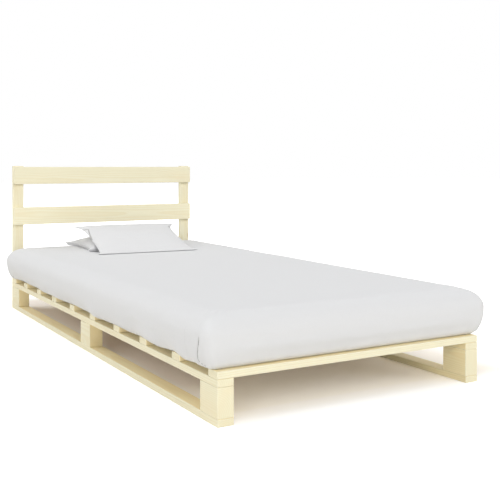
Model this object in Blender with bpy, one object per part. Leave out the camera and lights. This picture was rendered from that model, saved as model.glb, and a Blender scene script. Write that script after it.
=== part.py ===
"""Single pallet bed in pale pine: two block skids, ten cross slats, a two-rail headboard and the bedding.

Metres, +Z up. The origin lies on the floor under the middle of the bed. The foot end faces -Y and the
headboard stands at +Y. Every board, block and fastener is a piece of its own.
"""
import math

import bmesh
import bpy
from mathutils import Matrix, Vector

# Air left between faces that touch on the real bed
joint_gap = 0.0003

# Frame
frame_width = 0.90
skid_length = 2.02
edge_radius = 0.0018
edge_steps = 2

# Skids: bottom board, blocks and stringer share one width
skid_width = 0.048
bottom_board_thickness = 0.020
block_length = 0.098
block_height = 0.080
stringer_thickness = 0.020
block_place_shares = (0.0, 0.5, 1.0)
block_names = ("foot", "middle", "head")
sides = (("left", -1), ("right", 1))

# Slats: shares of the run between the foot slat and the head slat
slat_width = 0.052
slat_thickness = 0.020
slat_place_shares = (0.0, 0.113, 0.232, 0.344, 0.4625, 0.577, 0.690, 0.7995, 0.905, 1.0)

# Headboard: the posts stand on the floor behind the skids, the rails on the posts' foot side
post_width = 0.048
post_thickness = 0.020
post_rise = 0.004
rail_top = 0.655
rail_height = 0.080
rail_thickness = 0.020
rail_spacing = 0.1085
rail_names = ("upper", "lower")

# Countersunk wood screws
screw_sides = 8
screw_head_diameter = 0.0085
screw_head_depth = 0.0025
screw_shank_diameter = 0.0045
screw_point_length = 0.006
screw_sink = 0.001
bore_clearance = 0.0003
bore_overrun = 0.004
pole_merge_share = 0.03
slat_screw_bite_share = 0.70
rail_screw_bite_share = 0.70
rail_screw_height_shares = (-0.25, 0.25)

# Coach screws that hold the posts to the head blocks, their heads let in flush
coach_screw_sides = 12
coach_screw_diameter = 0.007
coach_screw_head_diameter = 0.013
coach_screw_head_thickness = 0.004
coach_screw_point_length = 0.008
coach_screw_bite_share = 0.40
coach_screw_height_shares = (0.25, 0.75)

# Mattress: widest at its belly, drawn in below to a hem and above to a soft shoulder
mattress_thickness = 0.142
mattress_side_overhang = 0.039
mattress_foot_overhang = 0.006
mattress_head_clearance = 0.012
mattress_belly_share = 0.59
mattress_shoulder_inset = 0.071
mattress_shoulder_power = 2.0
mattress_hem_inset = 0.042
mattress_hem_power = 2.2
mattress_corner_radius = 0.029
mattress_corner_sharpening_share = 0.88
mattress_side_steps = 14
mattress_corner_steps = 6

# Pillows: ears at the corners and drawn-in sides, the same for both
pillow_width = 0.485
pillow_depth = 0.355
pillow_side_draw_in_share = 0.14
pillow_end_draw_in_share = 0.01
pillow_front_ear_share = 0.60
pillow_ear_power = 5
pillow_seam_height = 0.0035
pillow_crown_power = 2.4
pillow_fill_power = 0.55
pillow_flat_share = 0.85
pillow_steps_across = 22
pillow_steps_along = 18
pillow_contact_gap = 0.001
pillow_contact_margin = 0.012

# The pair lies askew: the lower pillow flat, the upper one on it with its front on the mattress
pillow_pair_turn = math.radians(-3.8)
lower_pillow_height = 0.058
lower_pillow_ear_lift = 0.012
lower_pillow_head_clearance = 0.040
lower_pillow_shift = 0.013
upper_pillow_height = 0.030
upper_pillow_ear_lift = -0.006
upper_pillow_sag = 0.016
upper_pillow_lead = 0.129
upper_pillow_shift = 0.007
upper_pillow_lean = math.radians(16)

# Heights and places that follow from the sizes above
block_base = bottom_board_thickness + joint_gap
stringer_base = block_base + block_height + joint_gap
slat_base = stringer_base + stringer_thickness + joint_gap
deck_top = slat_base + slat_thickness
bed_length = mattress_foot_overhang + skid_length + joint_gap + post_thickness
foot_y = mattress_foot_overhang - bed_length / 2
skid_end_y = foot_y + skid_length
post_front_y = skid_end_y + joint_gap
post_back_y = post_front_y + post_thickness
rail_back_y = post_front_y - joint_gap
rail_front_y = rail_back_y - rail_thickness
skid_x = (frame_width - skid_width) / 2
post_x = (frame_width - post_width) / 2
coach_screw_x = (frame_width - min(skid_width, post_width)) / 2
mattress_base = deck_top + joint_gap
mattress_top = mattress_base + mattress_thickness


def clear_scene():
    """Remove whatever the file holds."""
    for old in list(bpy.data.objects):
        bpy.data.objects.remove(old, do_unlink=True)


def make_material(name, colour, roughness, metallic=0.0):
    """Principled material of one colour."""
    material = bpy.data.materials.new(name)
    material.use_nodes = True
    shader = material.node_tree.nodes["Principled BSDF"]
    shader.inputs["Base Color"].default_value = (*colour, 1.0)
    shader.inputs["Roughness"].default_value = roughness
    shader.inputs["Metallic"].default_value = metallic
    material.diffuse_color = (*colour, 1.0)
    return material


def make_empty(name, location):
    """Empty that carries one sub-assembly."""
    empty = bpy.data.objects.new(name, None)
    empty.location = location
    bpy.context.scene.collection.objects.link(empty)
    return empty


def link_object(name, mesh, material, location, parent=None):
    """Object of a mesh with its own material, placed under its sub-assembly."""
    piece = bpy.data.objects.new(name, mesh)
    if material:
        mesh.materials.clear()
        mesh.materials.append(material)
    piece.location = location
    piece.parent = parent
    bpy.context.scene.collection.objects.link(piece)
    return piece


def mesh_from(bm, name, smooth=False):
    """Turn a bmesh into a mesh."""
    mesh = bpy.data.meshes.new(name)
    bm.to_mesh(mesh)
    bm.free()
    if smooth:
        mesh.shade_smooth()
    return mesh


# Boards and blocks


def board_mesh(name, size):
    """Plain sawn board about its own centre."""
    bm = bmesh.new()
    bmesh.ops.create_cube(bm, size=1.0, matrix=Matrix.Diagonal((*size, 1.0)))
    return mesh_from(bm, name)


def add_board(name, mesh, material, location, parent, cutters=()):
    """Board with eased edges and the bores of the fasteners that cross it."""
    board = link_object(name, mesh, material, location, parent)
    ease = board.modifiers.new("eased_edges", "BEVEL")
    ease.width = edge_radius
    ease.segments = edge_steps
    for cutter in cutters:
        bore = board.modifiers.new(cutter.name, "BOOLEAN")
        bore.operation = "DIFFERENCE"
        bore.object = cutter
    return board


# Fasteners


def turned_mesh(name, profile, sides):
    """Turn a profile of (radius, depth) points about -Z, the way the fastener is driven."""
    bm = bmesh.new()
    points = [bm.verts.new((radius, 0, -depth)) for radius, depth in profile]
    edges = [bm.edges.new(link) for link in zip(points, points[1:])]
    turn = dict(cent=(0, 0, 0), axis=(0, 0, 1), angle=math.tau, steps=sides)
    bmesh.ops.spin(bm, geom=points + edges, use_merge=True, **turn)
    bmesh.ops.remove_doubles(bm, verts=bm.verts, dist=joint_gap * pole_merge_share)
    bmesh.ops.recalc_face_normals(bm, faces=bm.faces)
    return mesh_from(bm, name, smooth=True)


def screw_profile(length):
    """Countersunk head, shank and point."""
    head = screw_head_diameter / 2
    shank = screw_shank_diameter / 2
    point = length - screw_point_length
    return [(0, 0), (head, 0), (shank, screw_head_depth), (shank, point), (0, length)]


def screw_bore_profile(length):
    """Countersunk bore that clears a screw and runs out through the face it is driven from."""
    head = screw_head_diameter / 2 + bore_clearance
    shank = screw_shank_diameter / 2 + bore_clearance
    point = length - screw_point_length
    mouth = screw_sink + bore_overrun
    end = length + bore_clearance
    return [(0, -mouth), (head, -mouth), (head, 0), (shank, screw_head_depth), (shank, point), (0, end)]


def coach_screw_profile(length):
    """Flat head, shank and point."""
    head = coach_screw_head_diameter / 2
    shank = coach_screw_diameter / 2
    seat = coach_screw_head_thickness
    point = length - coach_screw_point_length
    return [(0, 0), (head, 0), (head, seat), (shank, seat), (shank, point), (0, length)]


def coach_screw_bore_profile(length):
    """Counterbore for the head, then a bore that clears the shank and the point."""
    head = coach_screw_head_diameter / 2 + bore_clearance
    shank = coach_screw_diameter / 2 + bore_clearance
    seat = coach_screw_head_thickness + bore_clearance
    point = length - coach_screw_point_length
    mouth = screw_sink + bore_overrun
    end = length + bore_clearance
    return [(0, -mouth), (head, -mouth), (head, seat), (shank, seat), (shank, point), (0, end)]


def add_cutter(name, mesh):
    """Cutter that shapes other pieces and isn't a piece itself."""
    cutter = link_object(name, mesh, None, (0, 0, 0))
    cutter.display_type = "WIRE"
    cutter.hide_render = True
    return cutter


def add_fasteners(kind, faces, direction, meshes, material, parent):
    """Equal fasteners driven into the named faces, and one cutter with all the bores that take them."""
    fastener, bore = meshes
    turn = Vector((0, 0, -1)).rotation_difference(Vector(direction))
    sink = Vector(direction) * screw_sink
    bm = bmesh.new()
    for name, face in faces.items():
        place = Vector(face) + sink
        driven = link_object(name, fastener, material, place, parent)
        driven.rotation_euler = turn.to_euler()
        first = len(bm.verts)
        bm.from_mesh(bore)
        bm.verts.ensure_lookup_table()
        seat = Matrix.Translation(place) @ turn.to_matrix().to_4x4()
        bmesh.ops.transform(bm, matrix=seat, verts=bm.verts[first:])
    return add_cutter(kind + "_bores", mesh_from(bm, kind + "_bores"))


def slat_centres():
    """Y of each slat's middle."""
    run = skid_length - slat_width
    return [foot_y + slat_width / 2 + share * run for share in slat_place_shares]


def block_centres():
    """Y of each block's middle."""
    run = skid_length - block_length
    return [foot_y + block_length / 2 + share * run for share in block_place_shares]


def rail_centres():
    """Z of the middle of the upper and the lower rail."""
    upper = rail_top - rail_height / 2
    return upper, upper - rail_height - rail_spacing


def add_slat_screws(material, parent):
    """One screw down through each end of each slat into the stringer."""
    faces = {}
    for number, centre in enumerate(slat_centres(), start=1):
        for side_name, side in sides:
            faces[f"slat_{number:02d}_{side_name}_screw"] = (side * skid_x, centre, deck_top)
    length = slat_thickness - screw_sink + slat_screw_bite_share * stringer_thickness
    screw = turned_mesh("slat_screw", screw_profile(length), screw_sides)
    bore = turned_mesh("slat_screw_bore", screw_bore_profile(length), screw_sides)
    return add_fasteners("slat_screw", faces, (0, 0, -1), (screw, bore), material, parent)


def add_rail_screws(material, parent):
    """Two screws through each post from behind into each rail."""
    faces = {}
    for rail_name, centre in zip(rail_names, rail_centres()):
        for side_name, side in sides:
            for number, share in enumerate(rail_screw_height_shares, start=1):
                name = f"{rail_name}_rail_{side_name}_screw_{number}"
                faces[name] = (side * post_x, post_back_y, centre + share * rail_height)
    length = post_thickness - screw_sink + rail_screw_bite_share * rail_thickness
    screw = turned_mesh("rail_screw", screw_profile(length), screw_sides)
    bore = turned_mesh("rail_screw_bore", screw_bore_profile(length), screw_sides)
    return add_fasteners("rail_screw", faces, (0, -1, 0), (screw, bore), material, parent)


def add_coach_screws(material, parent):
    """Two coach screws through each post from behind into the head block."""
    faces = {}
    for side_name, side in sides:
        for number, share in enumerate(coach_screw_height_shares, start=1):
            height = block_base + share * block_height
            faces[f"{side_name}_post_coach_screw_{number}"] = (side * coach_screw_x, post_back_y, height)
    length = post_thickness - screw_sink + coach_screw_bite_share * block_length
    screw = turned_mesh("coach_screw", coach_screw_profile(length), coach_screw_sides)
    bore = turned_mesh("coach_screw_bore", coach_screw_bore_profile(length), coach_screw_sides)
    return add_fasteners("coach_screw", faces, (0, -1, 0), (screw, bore), material, parent)


# Timber


def add_skid(side_name, side, material, root, cutters):
    """One skid: a bottom board on the floor, three blocks and a stringer board."""
    skid = make_empty(side_name + "_skid", (side * skid_x, 0, 0))
    skid.parent = root
    middle = foot_y + skid_length / 2
    bottom = board_mesh("bottom_board", (skid_width, skid_length, bottom_board_thickness))
    add_board(side_name + "_bottom_board", bottom, material, (0, middle, bottom_board_thickness / 2), skid)
    block = board_mesh("block", (skid_width, block_length, block_height))
    for name, centre in zip(block_names, block_centres()):
        crossing = [cutters["coach"]] if name == "head" else []
        place = (0, centre, block_base + block_height / 2)
        add_board(f"{side_name}_{name}_block", block, material, place, skid, crossing)
    stringer = board_mesh("stringer", (skid_width, skid_length, stringer_thickness))
    place = (0, middle, stringer_base + stringer_thickness / 2)
    add_board(side_name + "_stringer", stringer, material, place, skid, [cutters["slat"]])


def add_slats(material, root, cutters):
    """Ten slats across both stringers."""
    slat = board_mesh("slat", (frame_width, slat_width, slat_thickness))
    for number, centre in enumerate(slat_centres(), start=1):
        place = (0, centre, slat_base + slat_thickness / 2)
        add_board(f"slat_{number:02d}", slat, material, place, root, [cutters["slat"]])


def add_headboard(material, root, cutters):
    """Two posts on the floor behind the skids, and two rails across them."""
    headboard = make_empty("headboard", (0, post_front_y, 0))
    headboard.parent = root
    post_height = rail_top + post_rise
    post = board_mesh("post", (post_width, post_thickness, post_height))
    for side_name, side in sides:
        place = (side * post_x, post_thickness / 2, post_height / 2)
        crossing = [cutters["rail"], cutters["coach"]]
        add_board(side_name + "_headboard_post", post, material, place, headboard, crossing)
    rail = board_mesh("rail", (frame_width, rail_thickness, rail_height))
    for name, centre in zip(rail_names, rail_centres()):
        place = (0, -joint_gap - rail_thickness / 2, centre)
        add_board(name + "_headboard_rail", rail, material, place, headboard, [cutters["rail"]])


# Bedding


def rounded_outline(half_width, half_length, radius):
    """Corners of a rounded rectangle in the XY plane, counter-clockwise."""
    points = []
    for quarter in range(4):
        across = half_width - radius if quarter in (0, 3) else radius - half_width
        along = half_length - radius if quarter in (0, 1) else radius - half_length
        for step in range(mattress_corner_steps + 1):
            angle = (quarter + step / mattress_corner_steps) * math.pi / 2
            points.append((across + radius * math.cos(angle), along + radius * math.sin(angle)))
    return points


def signed_power(value, power):
    """Power that keeps the sign of its base."""
    return math.copysign(abs(value) ** power, value)


def mattress_section():
    """Share of the corner drawn in, inset and height of each ring of the side, from the hem up."""
    belly = mattress_thickness * mattress_belly_share
    section = []
    for step in range(mattress_side_steps + 1):
        angle = math.pi * (step / mattress_side_steps - 0.5)
        above = angle > 0
        bend = 2 / (mattress_shoulder_power if above else mattress_hem_power)
        drawn = 1 - abs(math.cos(angle)) ** bend
        inset = drawn * (mattress_shoulder_inset if above else mattress_hem_inset)
        rise = mattress_thickness - belly if above else belly
        section.append((drawn, inset, belly + rise * signed_power(math.sin(angle), bend)))
    return section


def mattress_mesh(half_width, half_length):
    """Loft of rounded outlines up the side, closed by a flat base and a flat top."""
    bm = bmesh.new()
    rings = []
    for drawn, inset, height in mattress_section():
        radius = mattress_corner_radius * (1 - mattress_corner_sharpening_share * drawn)
        outline = rounded_outline(half_width - inset, half_length - inset, radius)
        rings.append([bm.verts.new((x, y, height)) for x, y in outline])
    for lower, upper in zip(rings, rings[1:]):
        for here in range(len(lower)):
            after = (here + 1) % len(lower)
            bm.faces.new((lower[here], lower[after], upper[after], upper[here]))
    bm.faces.new(rings[0][::-1])
    bm.faces.new(rings[-1])
    return mesh_from(bm, "mattress", smooth=True)


def add_mattress(material, root):
    """Mattress that bulges over the sides and the foot of the deck."""
    head_y = post_front_y - mattress_head_clearance
    front_y = foot_y - mattress_foot_overhang
    half_width = frame_width / 2 + mattress_side_overhang
    mesh = mattress_mesh(half_width, (head_y - front_y) / 2)
    link_object("mattress", mesh, material, (0, (head_y + front_y) / 2, mattress_base), root)


def pillow_plan(across, along):
    """X and Y of a point of a pillow whose sides draw in between its ears; both inputs run -1 to 1."""
    flare = abs(along) ** pillow_ear_power * (pillow_front_ear_share if along < 0 else 1)
    drawn_across = pillow_side_draw_in_share * (1 - flare) * across ** 2
    drawn_along = pillow_end_draw_in_share * (1 - abs(across) ** pillow_ear_power) * along ** 2
    x = across * pillow_width / 2 * (1 - drawn_across)
    y = along * pillow_depth / 2 * (1 - drawn_along)
    return x, y


def pillow_fill(across, along):
    """Share of the filling's full height, 1 in the middle and 0 at the seam."""
    room = (1 - abs(across) ** pillow_crown_power) * (1 - abs(along) ** pillow_crown_power)
    return room ** pillow_fill_power


def pillow_seam(across, along, ear_lift):
    """Height of the seam above the plane of the pillow; the ears towards the headboard stand off it."""
    return pillow_seam_height + ear_lift * abs(across * max(0, along)) ** 3


def pillow_top(across, along, height, ear_lift):
    """Height of the crowned upper side."""
    return pillow_seam(across, along, ear_lift) + (height - pillow_seam_height) * pillow_fill(across, along)


def pillow_underside(across, along, sag, ear_lift):
    """Height of the underside: up to the seam at the edge, and as far down as the sag inside it."""
    outer = max(abs(across), abs(along)) - pillow_flat_share
    edge = max(0, outer / (1 - pillow_flat_share)) ** 2
    return pillow_seam(across, along, ear_lift) * edge - sag * pillow_fill(across, along)


def pillow_mesh(name, height, sag, ear_lift, support):
    """Pillow laid over a support, which gives the pillow's plane and the lowest underside at an X and Y."""
    across = [math.sin(math.pi * (i / pillow_steps_across - 0.5)) for i in range(pillow_steps_across + 1)]
    along = [math.sin(math.pi * (j / pillow_steps_along - 0.5)) for j in range(pillow_steps_along + 1)]
    bm = bmesh.new()
    grid = {}
    for i, a in enumerate(across):
        for j, b in enumerate(along):
            x, y = pillow_plan(a, b)
            plane, floor = support(x, y)
            grid[True, i, j] = bm.verts.new((x, y, plane + pillow_top(a, b, height, ear_lift)))
            if abs(a) < 1 and abs(b) < 1:
                under = max(floor, plane + pillow_underside(a, b, sag, ear_lift))
                grid[False, i, j] = bm.verts.new((x, y, under))
            else:
                grid[False, i, j] = grid[True, i, j]
    for i in range(pillow_steps_across):
        for j in range(pillow_steps_along):
            cell = ((i, j), (i + 1, j), (i + 1, j + 1), (i, j + 1))
            bm.faces.new([grid[True, k, m] for k, m in cell])
            bm.faces.new([grid[False, k, m] for k, m in reversed(cell)])
    return mesh_from(bm, name, smooth=True)


def flat_support(x, y):
    """The mattress top."""
    return 0, 0


def leaning_support(x, y):
    """The slope of the upper pillow from its front edge up, and the lower pillow or the mattress beneath."""
    hinge = -pillow_flat_share * pillow_depth / 2
    slope = max(0, y - hinge) * math.tan(upper_pillow_lean)
    across = (x + upper_pillow_shift) / (pillow_width / 2 + pillow_contact_margin)
    along = (y - upper_pillow_lead) / (pillow_depth / 2 + pillow_contact_margin)
    if abs(across) > 1 or abs(along) > 1:
        return slope, 0
    crown = pillow_top(across, along, lower_pillow_height, lower_pillow_ear_lift) + pillow_contact_gap
    return max(slope, crown), crown


def add_pillows(material, root):
    """The flat pillow on the mattress, and the one that leans on it towards the headboard."""
    middle = rail_front_y - lower_pillow_head_clearance - pillow_depth / 2
    pair = make_empty("pillow_pair", (lower_pillow_shift, middle, mattress_top + joint_gap))
    pair.rotation_euler.z = pillow_pair_turn
    pair.parent = root
    lower = pillow_mesh("lower_pillow", lower_pillow_height, 0, lower_pillow_ear_lift, flat_support)
    link_object("lower_pillow", lower, material, (0, 0, 0), pair)
    sizes = (upper_pillow_height, upper_pillow_sag, upper_pillow_ear_lift)
    upper = pillow_mesh("upper_pillow", *sizes, leaning_support)
    link_object("upper_pillow", upper, material, (upper_pillow_shift, -upper_pillow_lead, 0), pair)


def build_bed():
    """Build every piece of the bed."""
    clear_scene()
    pine = make_material("pine", (0.84, 0.74, 0.48), 0.62)
    zinc = make_material("zinc_plated_steel", (0.72, 0.71, 0.68), 0.35, 1.0)
    cover = make_material("mattress_cover", (0.80, 0.80, 0.81), 0.85)
    pillowcase = make_material("pillowcase", (0.82, 0.82, 0.83), 0.85)
    root = make_empty("bed", (0, 0, 0))
    cutters = {
        "slat": add_slat_screws(zinc, root),
        "rail": add_rail_screws(zinc, root),
        "coach": add_coach_screws(zinc, root),
    }
    for side_name, side in sides:
        add_skid(side_name, side, pine, root, cutters)
    add_slats(pine, root, cutters)
    add_headboard(pine, root, cutters)
    add_mattress(cover, root)
    add_pillows(pillowcase, root)
    bpy.context.view_layer.update()


build_bed()
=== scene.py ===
"""Single pallet bed, dressed: pale pine timber, zinc-plated fixings, a covered mattress and two pillows.

Metres, +Z up. The foot end faces -Y and the headboard stands at +Y.
"""
import logging
import math
import random
from dataclasses import dataclass, field
from enum import Enum
from typing import Callable

import bmesh
import bpy
import numpy as np
from mathutils import Euler, Matrix, Vector


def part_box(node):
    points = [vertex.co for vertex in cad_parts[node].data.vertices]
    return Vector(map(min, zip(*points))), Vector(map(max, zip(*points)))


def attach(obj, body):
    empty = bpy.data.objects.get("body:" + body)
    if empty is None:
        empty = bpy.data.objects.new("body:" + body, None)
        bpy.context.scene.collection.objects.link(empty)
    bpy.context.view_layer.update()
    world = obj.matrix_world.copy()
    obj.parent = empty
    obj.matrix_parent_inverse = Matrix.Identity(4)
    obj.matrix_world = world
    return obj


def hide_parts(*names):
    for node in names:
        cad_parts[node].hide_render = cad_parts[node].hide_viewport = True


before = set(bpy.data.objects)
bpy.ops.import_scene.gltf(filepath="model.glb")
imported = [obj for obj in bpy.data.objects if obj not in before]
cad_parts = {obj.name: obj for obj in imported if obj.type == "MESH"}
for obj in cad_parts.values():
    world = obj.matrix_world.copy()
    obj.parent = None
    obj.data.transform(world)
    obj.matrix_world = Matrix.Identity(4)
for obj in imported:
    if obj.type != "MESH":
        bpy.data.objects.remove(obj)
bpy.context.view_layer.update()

BODY = "root"
log = logging.getLogger("pallet_bed")

Colour = tuple[float, float, float]
Span = tuple[float, float]
Socket = bpy.types.NodeSocket

SEAM_DISTANCE = "seam_distance"
SEAM_STRENGTH = "seam_strength"
CLOTH_MAP = "cloth"
LEVEL_FACE = 0.9


# Shader graphs


class ShaderGraph:
    """Nodes of one material, added and linked from code."""

    def __init__(self, name: str) -> None:
        """Start a material with a bare Principled shader.

        Args:
            name: Name of the material.
        """
        self.material = bpy.data.materials.new(name)
        self.material.use_nodes = True
        self.tree = self.material.node_tree
        self.shader = self.tree.nodes["Principled BSDF"]

    def add(self, kind: str, **settings: object) -> bpy.types.Node:
        """Add a node.

        Args:
            kind: Blender's name of the node type.
            **settings: Values of the node's own properties.

        Returns:
            The new node.
        """
        node = self.tree.nodes.new(kind)
        for key, value in settings.items():
            setattr(node, key, value)
        return node

    def feed(self, socket: Socket, value: object) -> None:
        """Link a socket to another one, or give it a plain value.

        Args:
            socket: The input to feed.
            value: An output socket, a number, a vector or a colour.
        """
        if isinstance(value, bpy.types.NodeSocket):
            self.tree.links.new(value, socket)
        elif isinstance(value, tuple) and len(value) == 3 and socket.type == "RGBA":
            socket.default_value = (*value, 1.0)
        else:
            socket.default_value = value

    def math(self, operation: str, *values: object, clamp: bool = False) -> Socket:
        """Work out a number.

        Args:
            operation: Operation of the Math node.
            *values: Its inputs, in order.
            clamp: Whether the result is kept between 0 and 1.

        Returns:
            The result's socket.
        """
        node = self.add("ShaderNodeMath", operation=operation, use_clamp=clamp)
        for socket, value in zip(node.inputs, values):
            self.feed(socket, value)
        return node.outputs[0]

    def vector(self, operation: str, *values: object) -> bpy.types.Node:
        """Work on a vector.

        Args:
            operation: Operation of the Vector Math node.
            *values: Its inputs, in order.

        Returns:
            The node, whose outputs are Vector and Value.
        """
        node = self.add("ShaderNodeVectorMath", operation=operation)
        for socket, value in zip(node.inputs, values):
            self.feed(socket, value)
        return node

    def mapping(self, source: Socket, place: Vector, turn: Euler) -> Socket:
        """Turn coordinates about the origin and then move them.

        Args:
            source: The coordinates.
            place: The move, made after the turn.
            turn: The turn.

        Returns:
            The new coordinates.
        """
        node = self.add("ShaderNodeMapping")
        self.feed(node.inputs["Vector"], source)
        node.inputs["Location"].default_value = place
        node.inputs["Rotation"].default_value = turn
        return node.outputs[0]

    def stretched(self, source: Socket, scale: Colour) -> Socket:
        """Scale coordinates, each axis by its own factor."""
        return self.vector("MULTIPLY", source, scale).outputs["Vector"]

    def place(self) -> Socket:
        """Object coordinates, in metres."""
        return self.add("ShaderNodeTexCoord").outputs["Object"]

    def normal(self) -> Socket:
        """The way in which the surface faces."""
        return self.add("ShaderNodeTexCoord").outputs["Normal"]

    def attribute(self, name: str) -> Socket:
        """Value of one of the piece's point attributes."""
        return self.add("ShaderNodeAttribute", attribute_name=name).outputs["Fac"]

    def split(self, source: Socket) -> list[Socket]:
        """Take a vector apart.

        Args:
            source: The vector.

        Returns:
            Its X, Y and Z.
        """
        node = self.add("ShaderNodeSeparateXYZ")
        self.feed(node.inputs[0], source)
        return list(node.outputs)

    def times(self, first: object, second: object) -> Socket:
        """Product of two numbers."""
        return self.math("MULTIPLY", first, second)

    def rest(self, share: object, clamp: bool = False) -> Socket:
        """What a share leaves of 1."""
        return self.math("SUBTRACT", 1.0, share, clamp=clamp)

    def noise(self, source: Socket, detail: float = 2.0, roughness: float = 0.5) -> Socket:
        """Noise of about one lump to each unit of its coordinates.

        Args:
            source: The coordinates, already scaled.
            detail: Octaves of finer noise.
            roughness: Share that each octave keeps.

        Returns:
            A value about 0.5.
        """
        node = self.add("ShaderNodeTexNoise", noise_dimensions="3D")
        self.feed(node.inputs["Vector"], source)
        node.inputs["Scale"].default_value = 1.0
        node.inputs["Detail"].default_value = detail
        node.inputs["Roughness"].default_value = roughness
        return node.outputs["Fac"]

    def step(self, value: Socket, low: float, high: float) -> Socket:
        """Rise smoothly from 0 to 1.

        Args:
            value: What is measured.
            low: Where the result is still 0.
            high: Where it reaches 1.

        Returns:
            The result.
        """
        node = self.add("ShaderNodeMapRange", interpolation_type="SMOOTHSTEP", clamp=True)
        for socket, given in zip(node.inputs, (value, low, high, 0.0, 1.0)):
            self.feed(socket, given)
        return node.outputs[0]

    def blend(self, share: object, first: object, second: object) -> Socket:
        """Mix two colours.

        Args:
            share: How much of the second shows.
            first: The colour underneath.
            second: The colour on top.

        Returns:
            The mixed colour.
        """
        node = self.add("ShaderNodeMix", data_type="RGBA", clamp_factor=True)
        for socket, value in zip((node.inputs[0], node.inputs[6], node.inputs[7]), (share, first, second)):
            self.feed(socket, value)
        return node.outputs[2]

    def overlay(self, under: object, over: Colour, mask: Socket, strength: float) -> Socket:
        """Lay a colour over another where a mask shows.

        Args:
            under: The colour underneath.
            over: The colour on top.
            mask: Where it lies.
            strength: How much of it shows where the mask is 1.

        Returns:
            The mixed colour.
        """
        return self.blend(self.times(mask, strength), under, over)

    def tune(self, values: dict[str, float]) -> None:
        """Give some of the shader's own inputs plain values."""
        for name, value in values.items():
            self.shader.inputs[name].default_value = value

    def finish(self, colour: Socket, roughness: Socket, height: Socket, depth: float) -> bpy.types.Material:
        """Plug the three patterns into the shader.

        Args:
            colour: Base colour.
            roughness: Roughness.
            height: Height of the surface, from 0 to 1.
            depth: What a height of 1 measures.

        Returns:
            The finished material.
        """
        bump = self.add("ShaderNodeBump")
        bump.inputs["Strength"].default_value = 1.0
        bump.inputs["Distance"].default_value = depth
        self.feed(bump.inputs["Height"], height)
        self.feed(self.shader.inputs["Base Color"], colour)
        self.feed(self.shader.inputs["Roughness"], roughness)
        self.feed(self.shader.inputs["Normal"], bump.outputs[0])
        return self.material


# Finishes


class Grain(Enum):
    """Axis that a board's grain follows, as the turn that lays it along X."""

    ALONG_X = (0.0, 0.0, 0.0)
    ALONG_Y = (0.0, 0.0, -math.pi / 2)
    ALONG_Z = (0.0, math.pi / 2, 0.0)


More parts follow.
